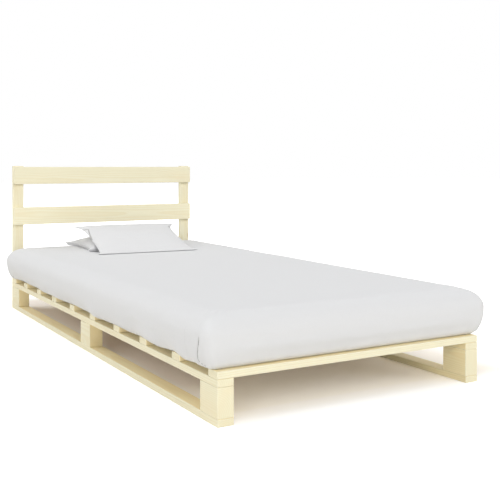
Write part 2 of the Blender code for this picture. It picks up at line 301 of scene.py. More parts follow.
@dataclass(frozen=True)
class PineFinish:
    """Bare pale pine, with growth rings, fibres, small knots, eased, slightly bleached edges, and painted warm bounce
    light on faces that look into the frame.
    """

    early: Colour = (0.802, 0.763, 0.576)
    late: Colour = (0.740, 0.658, 0.424)
    warm: Colour = (0.783, 0.696, 0.480)
    knot: Colour = (0.540, 0.400, 0.210)
    bleached: Colour = (0.826, 0.797, 0.653)
    end: Colour = (0.768, 0.710, 0.500)
    # painted_bounce_tint: painted warm bounce light on faces that look into the frame
    painted_bounce_tint: Colour = (1.17, 1.08, 0.92)
    painted_bounce_range: Span = (0.6, 0.9)
    log_shift: Span = (3.0, 9.0)
    ring_spacing: float = 0.0052
    ring_wander: float = 0.0075
    ring_wander_scale: Colour = (2.2, 9.0, 9.0)
    ring_rise: Span = (0.25, 0.86)
    ring_fall: Span = (0.88, 0.99)
    ring_strength: float = 0.52
    ring_height: float = 0.35
    ring_roughness: float = -0.06
    pith_distance: Span = (0.012, 0.045)
    pith_aside_share: float = 0.8
    pith_tilt: float = 0.022
    fibre_scale: Colour = (14.0, 620.0, 620.0)
    fibre_noise: Span = (3.0, 0.6)
    fibre_height: float = 0.65
    fibre_roughness: Span = (0.22, 0.50)
    fleck_range: Span = (0.50, 0.72)
    fleck_strength: float = 0.30
    cloud_scale: Colour = (1.7, 14.0, 14.0)
    cloud_range: Span = (0.46, 0.66)
    cloud_strength: float = 0.5
    knot_scale: Colour = (5.0, 13.0, 13.0)
    knot_rarity: float = 0.62
    knot_range: Span = (0.02, 0.10)
    knot_swell_range: Span = (0.05, 0.36)
    knot_strength: float = 0.80
    edge_width: float = 0.0045
    edge_scale: Colour = (16.0, 40.0, 40.0)
    edge_strength: float = 0.35
    end_range: Span = (0.75, 0.95)
    end_strength: float = 0.30
    grain_depth: float = 0.00035
    gloss: float = 0.30

    def material(
        self,
        name: str,
        low: Vector,
        high: Vector,
        grain: Grain,
        seed: int,
        tone: float = 1.0,
        inner: tuple[Colour, ...] = (),
    ) -> bpy.types.Material:
        """Pine for one board, cut from its own place in the log.

        Args:
            name: Name of the material.
            low: The board's lowest corner.
            high: The board's highest corner.
            grain: Axis that the grain follows.
            seed: Seed of the board's own log.
            tone: How much paler or darker than its neighbours the board is.
            inner: Ways in which its faces look into the frame, which get painted warm bounce light.

        Returns:
            The material.
        """
        graph = ShaderGraph(name)
        log_of = random.Random(seed)
        turn = Euler(grain.value)
        spin = turn.to_matrix()
        centre = spin @ ((low + high) / 2)
        half = Vector([abs(v) for v in spin @ ((high - low) / 2)])
        place = graph.mapping(graph.place(), -centre, turn)
        shift = Vector([log_of.uniform(*self.log_shift) for _ in range(3)])
        own = graph.vector("ADD", place, shift).outputs["Vector"]
        knots, swell = self.knots(graph, own)
        rings = self.rings(graph, place, own, swell, half, log_of)
        fibres = graph.noise(graph.stretched(own, self.fibre_scale), *self.fibre_noise)
        fleck = graph.step(fibres, *self.fleck_range)
        cloud = graph.step(graph.noise(graph.stretched(own, self.cloud_scale)), *self.cloud_range)
        colour = graph.overlay(self.early, self.late, rings, self.ring_strength)
        colour = graph.overlay(colour, self.warm, cloud, self.cloud_strength)
        colour = graph.overlay(colour, self.late, fleck, self.fleck_strength)
        colour = graph.overlay(colour, self.knot, knots, self.knot_strength)
        colour = graph.overlay(colour, self.bleached, self.edges(graph, place, own, half), self.edge_strength)
        colour = graph.overlay(colour, self.end, self.end_grain(graph, grain), self.end_strength)
        colour = graph.stretched(colour, (tone, tone, tone))
        # Painted warm bounce light: faces that look into the frame are tinted warmer and brighter.
        if inner:
            bounce_lit = graph.stretched(colour, self.painted_bounce_tint)
            colour = graph.blend(self.painted_bounce_faces(graph, inner), colour, bounce_lit)
        rough = graph.math("MULTIPLY_ADD", fibres, *self.fibre_roughness)
        rough = graph.math("MULTIPLY_ADD", rings, self.ring_roughness, rough)
        height = graph.math("MULTIPLY_ADD", rings, self.ring_height, graph.times(fibres, self.fibre_height))
        graph.tune({"Specular IOR Level": self.gloss})
        return graph.finish(colour, rough, height, self.grain_depth)

    def knots(self, graph: ShaderGraph, own: Socket) -> tuple[Socket, Socket]:
        """Small knots, drawn out along the grain.

        Args:
            graph: The board's shader graph.
            own: Coordinates in the board's own log.

        Returns:
            The knots' mask, and the swell that the rings make round them.
        """
        cells = graph.add("ShaderNodeTexVoronoi", voronoi_dimensions="3D", feature="F1")
        graph.feed(cells.inputs["Vector"], graph.stretched(own, self.knot_scale))
        cells.inputs["Scale"].default_value = 1.0
        pick = graph.add("ShaderNodeSeparateColor")
        graph.feed(pick.inputs[0], cells.outputs["Color"])
        chosen = graph.math("GREATER_THAN", pick.outputs[0], self.knot_rarity)
        away = cells.outputs["Distance"]
        near = graph.rest(graph.step(away, *self.knot_range))
        around = graph.rest(graph.step(away, *self.knot_swell_range))
        return graph.times(near, chosen), graph.times(around, chosen)

    def rings(
        self,
        graph: ShaderGraph,
        place: Socket,
        own: Socket,
        swell: Socket,
        half: Vector,
        log_of: random.Random,
    ) -> Socket:
        """Growth rings about a pith that lies outside the board and slightly askew.

        Args:
            graph: The board's shader graph.
            place: Coordinates about the board's centre, grain along X.
            own: Coordinates in the board's own log.
            swell: How far knots push the rings aside.
            half: Half the board's size.
            log_of: The board's random numbers.

        Returns:
            A value that is 0 in early wood and 1 in late wood.
        """
        thin_first = half.y < half.z
        away = min(half.y, half.z) + log_of.uniform(*self.pith_distance)
        aside = log_of.uniform(-self.pith_aside_share, self.pith_aside_share) * max(half.y, half.z)
        side = log_of.choice((-1, 1))
        pith = Vector((0, side * away, aside)) if thin_first else Vector((0, aside, side * away))
        tilt = Euler((0, *(log_of.uniform(-self.pith_tilt, self.pith_tilt) for _ in range(2))))
        about = graph.mapping(place, -pith, tilt)
        flat = graph.stretched(about, (0.0, 1.0, 1.0))
        radius = graph.vector("LENGTH", flat).outputs["Value"]
        wander = graph.noise(graph.stretched(own, self.ring_wander_scale))
        radius = graph.math("MULTIPLY_ADD", wander, self.ring_wander * 2, radius)
        radius = graph.math("MULTIPLY_ADD", swell, self.ring_wander, radius)
        phase = graph.math("FRACT", graph.math("DIVIDE", radius, self.ring_spacing))
        return graph.times(graph.step(phase, *self.ring_rise), graph.rest(graph.step(phase, *self.ring_fall)))

    def edges(self, graph: ShaderGraph, place: Socket, own: Socket, half: Vector) -> Socket:
        """Mask of the eased edges, uneven along their length.

        Args:
            graph: The board's shader graph.
            place: Coordinates about the board's centre.
            own: Coordinates in the board's own log.
            half: Half the board's size.

        Returns:
            The mask.
        """
        inward = graph.vector("ABSOLUTE", place).outputs["Vector"]
        inward = graph.vector("SUBTRACT", tuple(half), inward).outputs["Vector"]
        a, b, c = graph.split(inward)
        lesser = graph.math("MINIMUM", a, b)
        greater = graph.math("MAXIMUM", a, b)
        second = graph.math("MAXIMUM", lesser, graph.math("MINIMUM", greater, c))
        reach = graph.times(graph.noise(graph.stretched(own, self.edge_scale)), self.edge_width * 2)
        return graph.rest(graph.math("DIVIDE", second, reach), clamp=True)

    def painted_bounce_faces(self, graph: ShaderGraph, inner: tuple[Colour, ...]) -> Socket:
        """Mask of the faces that look into the frame, which get painted warm bounce light in place of light bounced
        between the boards.

        Args:
            graph: The board's shader graph.
            inner: The ways in which they look.

        Returns:
            The mask.
        """
        normal = graph.normal()
        facing = 0.0
        for way in inner:
            facing = graph.math("MAXIMUM", graph.vector("DOT_PRODUCT", normal, way).outputs["Value"], facing)
        return graph.step(facing, *self.painted_bounce_range)

    def end_grain(self, graph: ShaderGraph, grain: Grain) -> Socket:
        """Mask of the cut ends, which look along the grain.

        Args:
            graph: The board's shader graph.
            grain: Axis that the grain follows.

        Returns:
            The mask.
        """
        axis = Euler(grain.value).to_matrix().transposed() @ Vector((1, 0, 0))
        facing = graph.vector("DOT_PRODUCT", graph.normal(), tuple(axis)).outputs["Value"]
        return graph.step(graph.math("ABSOLUTE", facing), *self.end_range)


@dataclass(frozen=True)
class ZincFinish:
    """Bright zinc plate, slightly clouded."""

    colour: Colour = (0.66, 0.66, 0.64)
    cloud: Colour = (0.50, 0.49, 0.45)
    cloud_scale: Colour = (260.0, 260.0, 260.0)
    cloud_noise: Span = (3.0, 0.6)
    cloud_range: Span = (0.42, 0.68)
    scratch_scale: Colour = (2600.0, 400.0, 2600.0)
    scratch_depth: float = 0.00004
    roughness: Span = (0.30, 0.18)

    def material(self, name: str) -> bpy.types.Material:
        """Plated steel for the fixings.

        Args:
            name: Name of the material.

        Returns:
            The material.
        """
        graph = ShaderGraph(name)
        place = graph.place()
        cloud = graph.noise(graph.stretched(place, self.cloud_scale), *self.cloud_noise)
        scratch = graph.noise(graph.stretched(place, self.scratch_scale))
        colour = graph.blend(graph.step(cloud, *self.cloud_range), self.colour, self.cloud)
        rough = graph.math("MULTIPLY_ADD", cloud, *self.roughness)
        graph.tune({"Metallic": 1.0})
        return graph.finish(colour, rough, scratch, self.scratch_depth)


@dataclass(frozen=True)
class CottonFinish:
    """White plain-weave cotton: threads, slubs, soft creases, and painted shade along the seams and creases."""

    colour: Colour = (0.680, 0.683, 0.690)
    thread: Colour = (0.597, 0.600, 0.609)
    thread_pitch: float = 0.0007
    thread_depth: float = 0.00006
    crease_depth: float = 0.0012
    crease_lumps: Colour = (9.0, 9.0, 9.0)
    crease_noise: Span = (3.0, 0.45)
    warp_slub_scale: Colour = (900.0, 60.0, 60.0)
    weft_slub_scale: Colour = (60.0, 900.0, 60.0)
    slub_strength: float = 0.30
    weave_strength: float = 0.25
    least_wear: float = 0.10
    roughness: Span = (0.12, 0.78)
    gloss: float = 0.20
    sheen: float = 0.12
    sheen_roughness: float = 0.5
    # painted_crease_shade: painted shade that darkens a seam's or crease's core
    painted_crease_shade: Colour = (0.16, 0.15, 0.14)
    seam_width: float = 0.0021
    seam_core_share: float = 0.4
    # how much of the painted shade shows in the seam's core
    seam_strength: float = 0.85
    seam_depth: float = 0.0010

    def material(self, name: str, uv_map: str = "", seamed: bool = False) -> bpy.types.Material:
        """Cotton, woven along a UV map in metres or along X and Y.

        Args:
            name: Name of the material.
            uv_map: The piece's UV map that the threads follow, or nothing for its X and Y.
            seamed: Whether the piece has the attributes of its seams, which get a groove and painted shade.

        Returns:
            The material.
        """
        graph = ShaderGraph(name)
        place = graph.place()
        along = graph.add("ShaderNodeUVMap", uv_map=uv_map).outputs[0] if uv_map else place
        turns = math.tau / self.thread_pitch
        across, down, _ = graph.split(graph.stretched(along, (turns, turns, turns)))
        crossing = graph.times(graph.math("SINE", across), graph.math("SINE", down))
        weave = graph.math("MULTIPLY_ADD", crossing, 0.5, 0.5)
        warp_slub = graph.noise(graph.stretched(along, self.warp_slub_scale))
        weft_slub = graph.noise(graph.stretched(along, self.weft_slub_scale))
        slub = graph.math("ADD", warp_slub, weft_slub)
        worn = graph.math("MULTIPLY_ADD", slub, self.slub_strength, graph.times(weave, self.weave_strength))
        worn = graph.math("SUBTRACT", worn, self.least_wear, clamp=True)
        colour = graph.blend(worn, self.colour, self.thread)
        rough = graph.math("MULTIPLY_ADD", weave, *self.roughness)
        crease = graph.noise(graph.stretched(place, self.crease_lumps), *self.crease_noise)
        height = graph.math("ADD", crease, graph.times(weave, self.thread_depth / self.crease_depth))
        # Seams and creases: a groove in the bump, and painted shade that darkens the seam's core.
        if seamed:
            away = graph.math("ABSOLUTE", graph.attribute(SEAM_DISTANCE))
            fold_and_shade = graph.rest(graph.step(away, self.seam_width * self.seam_core_share, self.seam_width))
            fold_and_shade = graph.times(fold_and_shade, graph.attribute(SEAM_STRENGTH))
            colour = graph.overlay(colour, self.painted_crease_shade, fold_and_shade, self.seam_strength)
            height = graph.math("MULTIPLY_ADD", fold_and_shade, -self.seam_depth / self.crease_depth, height)
        graph.tune({
            "Sheen Weight": self.sheen,
            "Sheen Roughness": self.sheen_roughness,
            "Specular IOR Level": self.gloss,
        })
        return graph.finish(colour, rough, height, self.crease_depth)


# Modelling helpers


def deselect() -> None:
    """Leave edit mode and select nothing."""
    if bpy.context.object and bpy.context.object.mode != "OBJECT":
        bpy.ops.object.mode_set(mode="OBJECT")
    bpy.ops.object.select_all(action="DESELECT")


def make_active(piece: bpy.types.Object) -> None:
    """Select one piece alone and make it the active one.

    Args:
        piece: The piece.
    """
    deselect()
    piece.select_set(True)
    bpy.context.view_layer.objects.active = piece


def apply_modifiers(piece: bpy.types.Object) -> None:
    """Apply all modifiers of a piece, in order.

    Args:
        piece: The piece.
    """
    make_active(piece)
    for modifier in list(piece.modifiers):
        bpy.ops.object.modifier_apply(modifier=modifier.name)


def select_faces(piece: bpy.types.Object, wanted: Callable[[bmesh.types.BMFace], bool]) -> None:
    """Select, in edit mode, the faces that pass a test.

    Args:
        piece: The object in edit mode.
        wanted: Function of a face that says whether it is selected.
    """
    bpy.ops.mesh.select_mode(type="FACE")
    bpy.ops.mesh.select_all(action="DESELECT")
    shape = bmesh.from_edit_mesh(piece.data)
    for face in shape.faces:
        face.select_set(bool(wanted(face)))
    bmesh.update_edit_mesh(piece.data)


def start_disc(sides: int, radius: float, height: float = 0.0) -> bpy.types.Object:
    """Add a disc to be drawn out in edit mode, with its face selected.

    Args:
        sides: Sides of the disc.
        radius: Its radius.
        height: Its place on Z.

    Returns:
        The disc, in edit mode.
    """
    deselect()
    bpy.ops.mesh.primitive_circle_add(vertices=sides, radius=radius, fill_type="NGON", location=(0, 0, height))
    disc = bpy.context.object
    bpy.ops.object.mode_set(mode="EDIT")
    bpy.ops.mesh.select_all(action="SELECT")
    return disc


def end_solid() -> None:
    """Point all faces of the mesh in edit mode outwards and leave edit mode."""
    bpy.ops.mesh.select_all(action="SELECT")
    bpy.ops.mesh.normals_make_consistent(inside=False)
    bpy.ops.object.mode_set(mode="OBJECT")


def link_copy(model: bpy.types.Object, name: str, place: Matrix) -> bpy.types.Object:
    """Copy a model, mesh and all, with its place in its mesh.

    Args:
        model: The model about the origin.
        name: Name of the copy.
        place: Where the copy goes and how it is turned.

    Returns:
        The copy, linked to the scene.
    """
    mesh = model.data.copy()
    mesh.transform(place)
    copy = bpy.data.objects.new(name, mesh)
    bpy.context.scene.collection.objects.link(copy)
    return copy


def extrude_scaled(depth: float, factor: float) -> None:
    """Extrude the selected faces down along -Z and scale them about their middle.

    Args:
        depth: How far down.
        factor: How much wider or narrower the far end is.
    """
    move = {"value": (0, 0, -depth), "orient_type": "GLOBAL"}
    bpy.ops.mesh.extrude_region_move(TRANSFORM_OT_translate=move)
    bpy.ops.transform.resize(value=(factor, factor, 1))


def settle(piece: bpy.types.Object, material: bpy.types.Material) -> None:
    """Give a finished piece its material, slot and body.

    Args:
        piece: The finished piece.
        material: Its finish.
    """
    piece.data.materials.clear()
    piece.data.materials.append(material)
    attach(piece, BODY)
    log.info("made %s", piece.name)


def note(piece: bpy.types.Object, name: str, values: np.ndarray, domain: str = "POINT") -> None:
    """Keep a number for each point or edge of a mesh, as an attribute.

    Args:
        piece: The object.
        name: Name of the attribute.
        values: One number for each point or edge.
        domain: POINT or EDGE.
    """
    attribute = piece.data.attributes.new(name, "FLOAT", domain)
    attribute.data.foreach_set("value", values.astype(np.float32))


def points_of(piece: bpy.types.Object) -> np.ndarray:
    """Read a mesh's points.

    Args:
        piece: The object.

    Returns:
        Rows of X, Y and Z.
    """
    points = np.empty(len(piece.data.vertices) * 3)
    piece.data.vertices.foreach_get("co", points)
    return points.reshape(-1, 3)


def set_points(piece: bpy.types.Object, points: np.ndarray) -> None:
    """Write a mesh's points back.

    Args:
        piece: The object.
        points: Rows of X, Y and Z.
    """
    piece.data.vertices.foreach_set("co", points.ravel())
    piece.data.update()


def quad_mesh(name: str, points: np.ndarray, quads: np.ndarray, uvs: np.ndarray | None = None) -> bpy.types.Object:
    """Make an object of quads.

    Args:
        name: Name of the object.
        points: Rows of X, Y and Z.
        quads: Rows of four point numbers.
        uvs: UV pairs of each quad's four corners, or nothing.

    Returns:
        The new object, linked to the scene.
    """
    mesh = bpy.data.meshes.new(name)
    mesh.from_pydata(points.tolist(), [], quads.tolist())
    if uvs is not None:
        layer = mesh.uv_layers.new(name=CLOTH_MAP)
        layer.data.foreach_set("uv", uvs.astype(np.float32).ravel())
    mesh.shade_smooth()
    piece = bpy.data.objects.new(name, mesh)
    bpy.context.scene.collection.objects.link(piece)
    return piece


def grid_quads(number: np.ndarray) -> np.ndarray:
    """Corners of each cell of a grid of point numbers, in rows of four."""
    return np.stack([number[:-1, :-1], number[1:, :-1], number[1:, 1:], number[:-1, 1:]], axis=-1).reshape(-1, 4)


@dataclass(frozen=True)
class Filling:
    """How a stuffed form swells under its cover."""

    pressure: float = 4.0
    frames: int = 20
    cap: float = 0.006
    tension: float = 15.0
    bending: float = 0.5

    def swell(self, piece: bpy.types.Object) -> None:
        """Run the cover as cloth over a pressed filling, and limit how far each point goes.

        Args:
            piece: The closed form. Its points move.
        """
        start = points_of(piece)
        cloth = piece.modifiers.new("filling", "CLOTH")
        cloth.settings.use_pressure = True
        cloth.settings.uniform_pressure_force = self.pressure
        cloth.settings.tension_stiffness = self.tension
        cloth.settings.compression_stiffness = self.tension
        cloth.settings.bending_stiffness = self.bending
        cloth.settings.effector_weights.gravity = 0.0
        cloth.point_cache.frame_start = 1
        cloth.point_cache.frame_end = self.frames
        for number in range(1, self.frames + 1):
            bpy.context.scene.frame_set(number)
        make_active(piece)
        bpy.ops.object.modifier_apply(modifier=cloth.name)
        move = points_of(piece) - start
        reach = np.linalg.norm(move, axis=1, keepdims=True)
        limit = self.cap * np.tanh(reach / self.cap)
        set_points(piece, start + move * limit / np.maximum(reach, 1e-9))
        bpy.context.scene.frame_set(1)


def smooth_step(values: np.ndarray, low: float, high: float) -> np.ndarray:
    """Rise smoothly from 0 at low to 1 at high."""
    share = np.clip((values - low) / (high - low), 0, 1)
    return share * share * (3 - 2 * share)


def lengths_along(line: np.ndarray) -> np.ndarray:
    """Length from the start of a line to each of its points, which are rows."""
    return np.concatenate([[0], np.cumsum(np.linalg.norm(np.diff(line, axis=0), axis=1))])


@dataclass(frozen=True)
class Ripple:
    """Sine waves of unlike lengths that wander between about -1 and 1."""

    lengths: tuple[float, ...]
    seed: int

    def at(self, values: np.ndarray) -> np.ndarray:
        """Work out the ripple along a line.

        Args:
            values: Places along the line, in metres.

        Returns:
            The ripple at each place.
        """
        phases = random.Random(self.seed)
        waves = (np.sin(values * math.tau / length + phases.uniform(0, math.tau)) for length in self.lengths)
        return sum(waves) / len(self.lengths)


# Timber


@dataclass
class Timber:
    """The bed's boards and blocks, which keep their solids and get their grain."""

    skid_boards: tuple[str, ...] = ("bottom_board", "foot_block", "middle_block", "head_block", "stringer")
    slat_count: int = 10
    first_seed: int = 11
    tones: dict[str, float] = field(default_factory=lambda: {
        "lower_headboard_rail": 1.065, "left_headboard_post": 1.02, "right_headboard_post": 1.02,
    })

    def boards(self) -> list[tuple[str, Grain]]:
        """List each board with the axis that its grain follows."""
        along = [(f"{side}_{name}", Grain.ALONG_Y) for side in ("left", "right") for name in self.skid_boards]
        across = [(f"slat_{number:02d}", Grain.ALONG_X) for number in range(1, self.slat_count + 1)]
        across += [(f"{name}_headboard_rail", Grain.ALONG_X) for name in ("upper", "lower")]
        upright = [(f"{side}_headboard_post", Grain.ALONG_Z) for side in ("left", "right")]
        return along + across + upright

    def inner_ways(self, name: str) -> tuple[Colour, ...]:
        """List the ways in which a board's faces with painted warm bounce light look, each as a sum of the axes that
        they face.

        Args:
            name: The board's node.

        Returns:
            The ways.
        """
        side, _, kind = name.partition("_")
        if side == "slat":
            return ((0.0, 1.0, 1.0),) if kind == "01" else ((0.0, 1.0, 1.0), (0.0, -1.0, 1.0))
        if kind not in self.skid_boards:
            return ()
        inward = 1.0 if side == "left" else -1.0
        ways = {
            "bottom_board": ((0.0, 1.0),),
            "foot_block": ((1.0, 0.0),),
            "middle_block": ((1.0, 0.0), (-1.0, 0.0)),
            "head_block": ((-1.0, 0.0),),
            "stringer": ((0.0, -1.0), (0.0, 1.0)),
        }
        return tuple((inward, y, z) for y, z in ways[kind])

    def dress(self, finish: PineFinish) -> None:
        """Give each board pine of its own.

        Args:
            finish: The timber's finish.
        """
        for seed, (name, grain) in enumerate(self.boards(), start=self.first_seed):
            low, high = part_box(name)
            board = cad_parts[name]
            tone = self.tones.get(name, 1.0)
            pine = finish.material("pine_" + name, low, high, grain, seed, tone, self.inner_ways(name))
            board.material_slots[0].material = pine
            log.info("dressed %s", name)


# Fixings


@dataclass
class Screws:
    """Countersunk screws with a cross recess, and coach screws with hexagon heads."""

    sides: int = 24
    head_radius: float = 0.00425
    head_depth: float = 0.0025
    shank_radius: float = 0.00225
    point_length: float = 0.006
    point_share: float = 0.1
    smooth_angle: float = math.radians(35)
    recess_width: float = 0.0011
    recess_length: float = 0.0046
    recess_depth: float = 0.0014
    recess_taper: Colour = (0.45, 0.7, 1.0)
    coach_radius: float = 0.0035
    coach_head_radius: float = 0.0065
    coach_head_depth: float = 0.004
    coach_washer_depth: float = 0.0012
    coach_washer_share: float = 0.94
    coach_washer_bevel_share: float = 0.3
    coach_sides: int = 6
    coach_hexagon_radius: float = 0.0056
    coach_hexagon_share: float = 0.86
    coach_chamfer_share: float = 0.10
    coach_point_length: float = 0.008
    turn_by_place: Colour = (1e5, 7e4, 3e4)
    quarter: float = 90.0

    def countersunk(self, length: float) -> bpy.types.Object:
        """Model one countersunk screw that points down from the origin.

        Args:
            length: Length over all.

        Returns:
            The screw.
        """
        screw = start_disc(self.sides, self.head_radius)
        screw.name = "countersunk_screw"
        extrude_scaled(self.head_depth, self.shank_radius / self.head_radius)
        extrude_scaled(length - self.head_depth - self.point_length, 1.0)
        extrude_scaled(self.point_length, self.point_share)
        end_solid()
        for turn in (0.0, math.pi / 2):
            self.cut_recess(screw, turn)
        make_active(screw)
        bpy.ops.object.shade_smooth_by_angle(angle=self.smooth_angle)
        return screw

    def cut_recess(self, screw: bpy.types.Object, turn: float) -> None:
        """Cut one arm of the cross into a screw's head.

        Args:
            screw: The screw.
            turn: Angle of the arm.
        """
        deselect()
        bpy.ops.mesh.primitive_cube_add(size=1.0)
        arm = bpy.context.object
        bpy.ops.object.mode_set(mode="EDIT")
        bpy.ops.mesh.select_all(action="SELECT")
        bpy.ops.transform.resize(value=(self.recess_length, self.recess_width, self.recess_depth * 2))
        select_faces(arm, lambda face: face.normal.z < -LEVEL_FACE)
        bpy.ops.transform.resize(value=self.recess_taper)
        bpy.ops.object.mode_set(mode="OBJECT")
        arm.data.transform(Matrix.Rotation(turn, 4, "Z"))
        cut = screw.modifiers.new("recess", "BOOLEAN")
        cut.operation = "DIFFERENCE"
        cut.object = arm
        apply_modifiers(screw)
        bpy.data.objects.remove(arm)

    def coach(self, length: float) -> bpy.types.Object:
        """Model one coach screw that points down from the origin.

        Args:
            length: Length over all.

        Returns:
            The screw.
        """
        chamfer = self.coach_hexagon_radius * self.coach_chamfer_share
        head = start_disc(self.coach_sides, self.coach_hexagon_radius * self.coach_hexagon_share)
        extrude_scaled(chamfer, 1 / self.coach_hexagon_share)
        extrude_scaled(self.coach_head_depth - self.coach_washer_depth - chamfer, 1.0)
        end_solid()
        top = self.coach_washer_depth - self.coach_head_depth
        bevel = self.coach_washer_depth * self.coach_washer_bevel_share
        shaft = start_disc(self.sides, self.coach_head_radius * self.coach_washer_share, top)
        extrude_scaled(bevel, 1 / self.coach_washer_share)
        extrude_scaled(self.coach_washer_depth - bevel, 1.0)
        extrude_scaled(0.0, self.coach_radius / self.coach_head_radius)
        extrude_scaled(length - self.coach_head_depth - self.coach_point_length, 1.0)
        extrude_scaled(self.coach_point_length, self.point_share)
        end_solid()
        make_active(shaft)
        head.select_set(True)
        bpy.ops.object.join()
        screw = bpy.context.object
        bpy.ops.object.transform_apply(location=True, rotation=True, scale=True)
        bpy.ops.object.shade_smooth_by_angle(angle=self.smooth_angle)
        return screw

    def place(self, model: bpy.types.Object, node: str, material: bpy.types.Material) -> None:
        """Copy a screw to a node's place, pointing the way that the node is driven.

        Args:
            model: The screw about the origin.
            node: The node that the copy stands for.
            material: The screw's finish.
        """
        low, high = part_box(node)
        middle = (low + high) / 2
        size = high - low
        if size.z > size.y:
            head, turn = Vector((middle.x, middle.y, high.z)), Matrix.Identity(4)
        else:
            head, turn = Vector((middle.x, high.y, middle.z)), Matrix.Rotation(-math.pi / 2, 4, "X")
        turned = sum(value * factor for value, factor in zip(middle, self.turn_by_place))
        spin = Matrix.Rotation(math.radians(turned % self.quarter), 4, "Z")
        copy = link_copy(model, node + "_dressed", Matrix.Translation(head) @ turn @ spin)
        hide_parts(node)
        settle(copy, material)

    def build(self, material: bpy.types.Material) -> None:
        """Replace every screw of the frame.

        Args:
            material: The screws' finish.
        """
        nodes = [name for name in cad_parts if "_screw" in name]
        for kind in ("slat", "rail", "coach"):
            group = [name for name in nodes if kind in name]
            low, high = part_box(group[0])
            length = max(high - low)
            model = self.coach(length) if kind == "coach" else self.countersunk(length)
            for node in group:
                self.place(model, node, material)
            bpy.data.objects.remove(model)


@dataclass
class Nails:
    """Heads of the nails that hold the skids' boards to their blocks."""

    radius: float = 0.0028
    rise: float = 0.0002
    depth: float = 0.0010
    sides: int = 16
    taper: float = 0.55
    dome_share: float = 0.35
    smooth_angle: float = math.radians(50)
    along_share: float = 0.30
    across_share: float = 0.24

    def head(self) -> bpy.types.Object:
        """Model one nail head, domed, about the origin and facing up."""
        nail = start_disc(self.sides, self.radius)
        extrude_scaled(self.depth, self.taper)
        middle = -self.depth / 2
        select_faces(nail, lambda face: abs(face.normal.z) > LEVEL_FACE and face.calc_center_median().z > middle)
        bpy.ops.mesh.inset(thickness=self.radius * self.dome_share)
        bpy.ops.transform.translate(value=(0, 0, self.rise))
        end_solid()
        bpy.ops.object.shade_smooth_by_angle(angle=self.smooth_angle)
        return nail

    def build(self, material: bpy.types.Material) -> None:
        """Set two nails over and two under each block.

        Args:
            material: The nails' finish.
        """
        model = self.head()
        for side in ("left", "right"):
            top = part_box(f"{side}_stringer")[1].z
            for block in ("foot", "middle", "head"):
                low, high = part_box(f"{side}_{block}_block")
                middle, size = (low + high) / 2, high - low
                for number, sign in enumerate((-1, 1), start=1):
                    x = middle.x + sign * size.x * self.across_share
                    y = middle.y + sign * size.y * self.along_share
                    for face, z, turn in (("upper", top, 0.0), ("under", self.rise, math.pi)):
                        spot = Matrix.Translation((x, y, z)) @ Matrix.Rotation(turn, 4, "X")
                        nail = link_copy(model, f"{side}_{block}_block_{face}_nail_{number}", spot)
                        settle(nail, material)
        bpy.data.objects.remove(model)


# Bedding


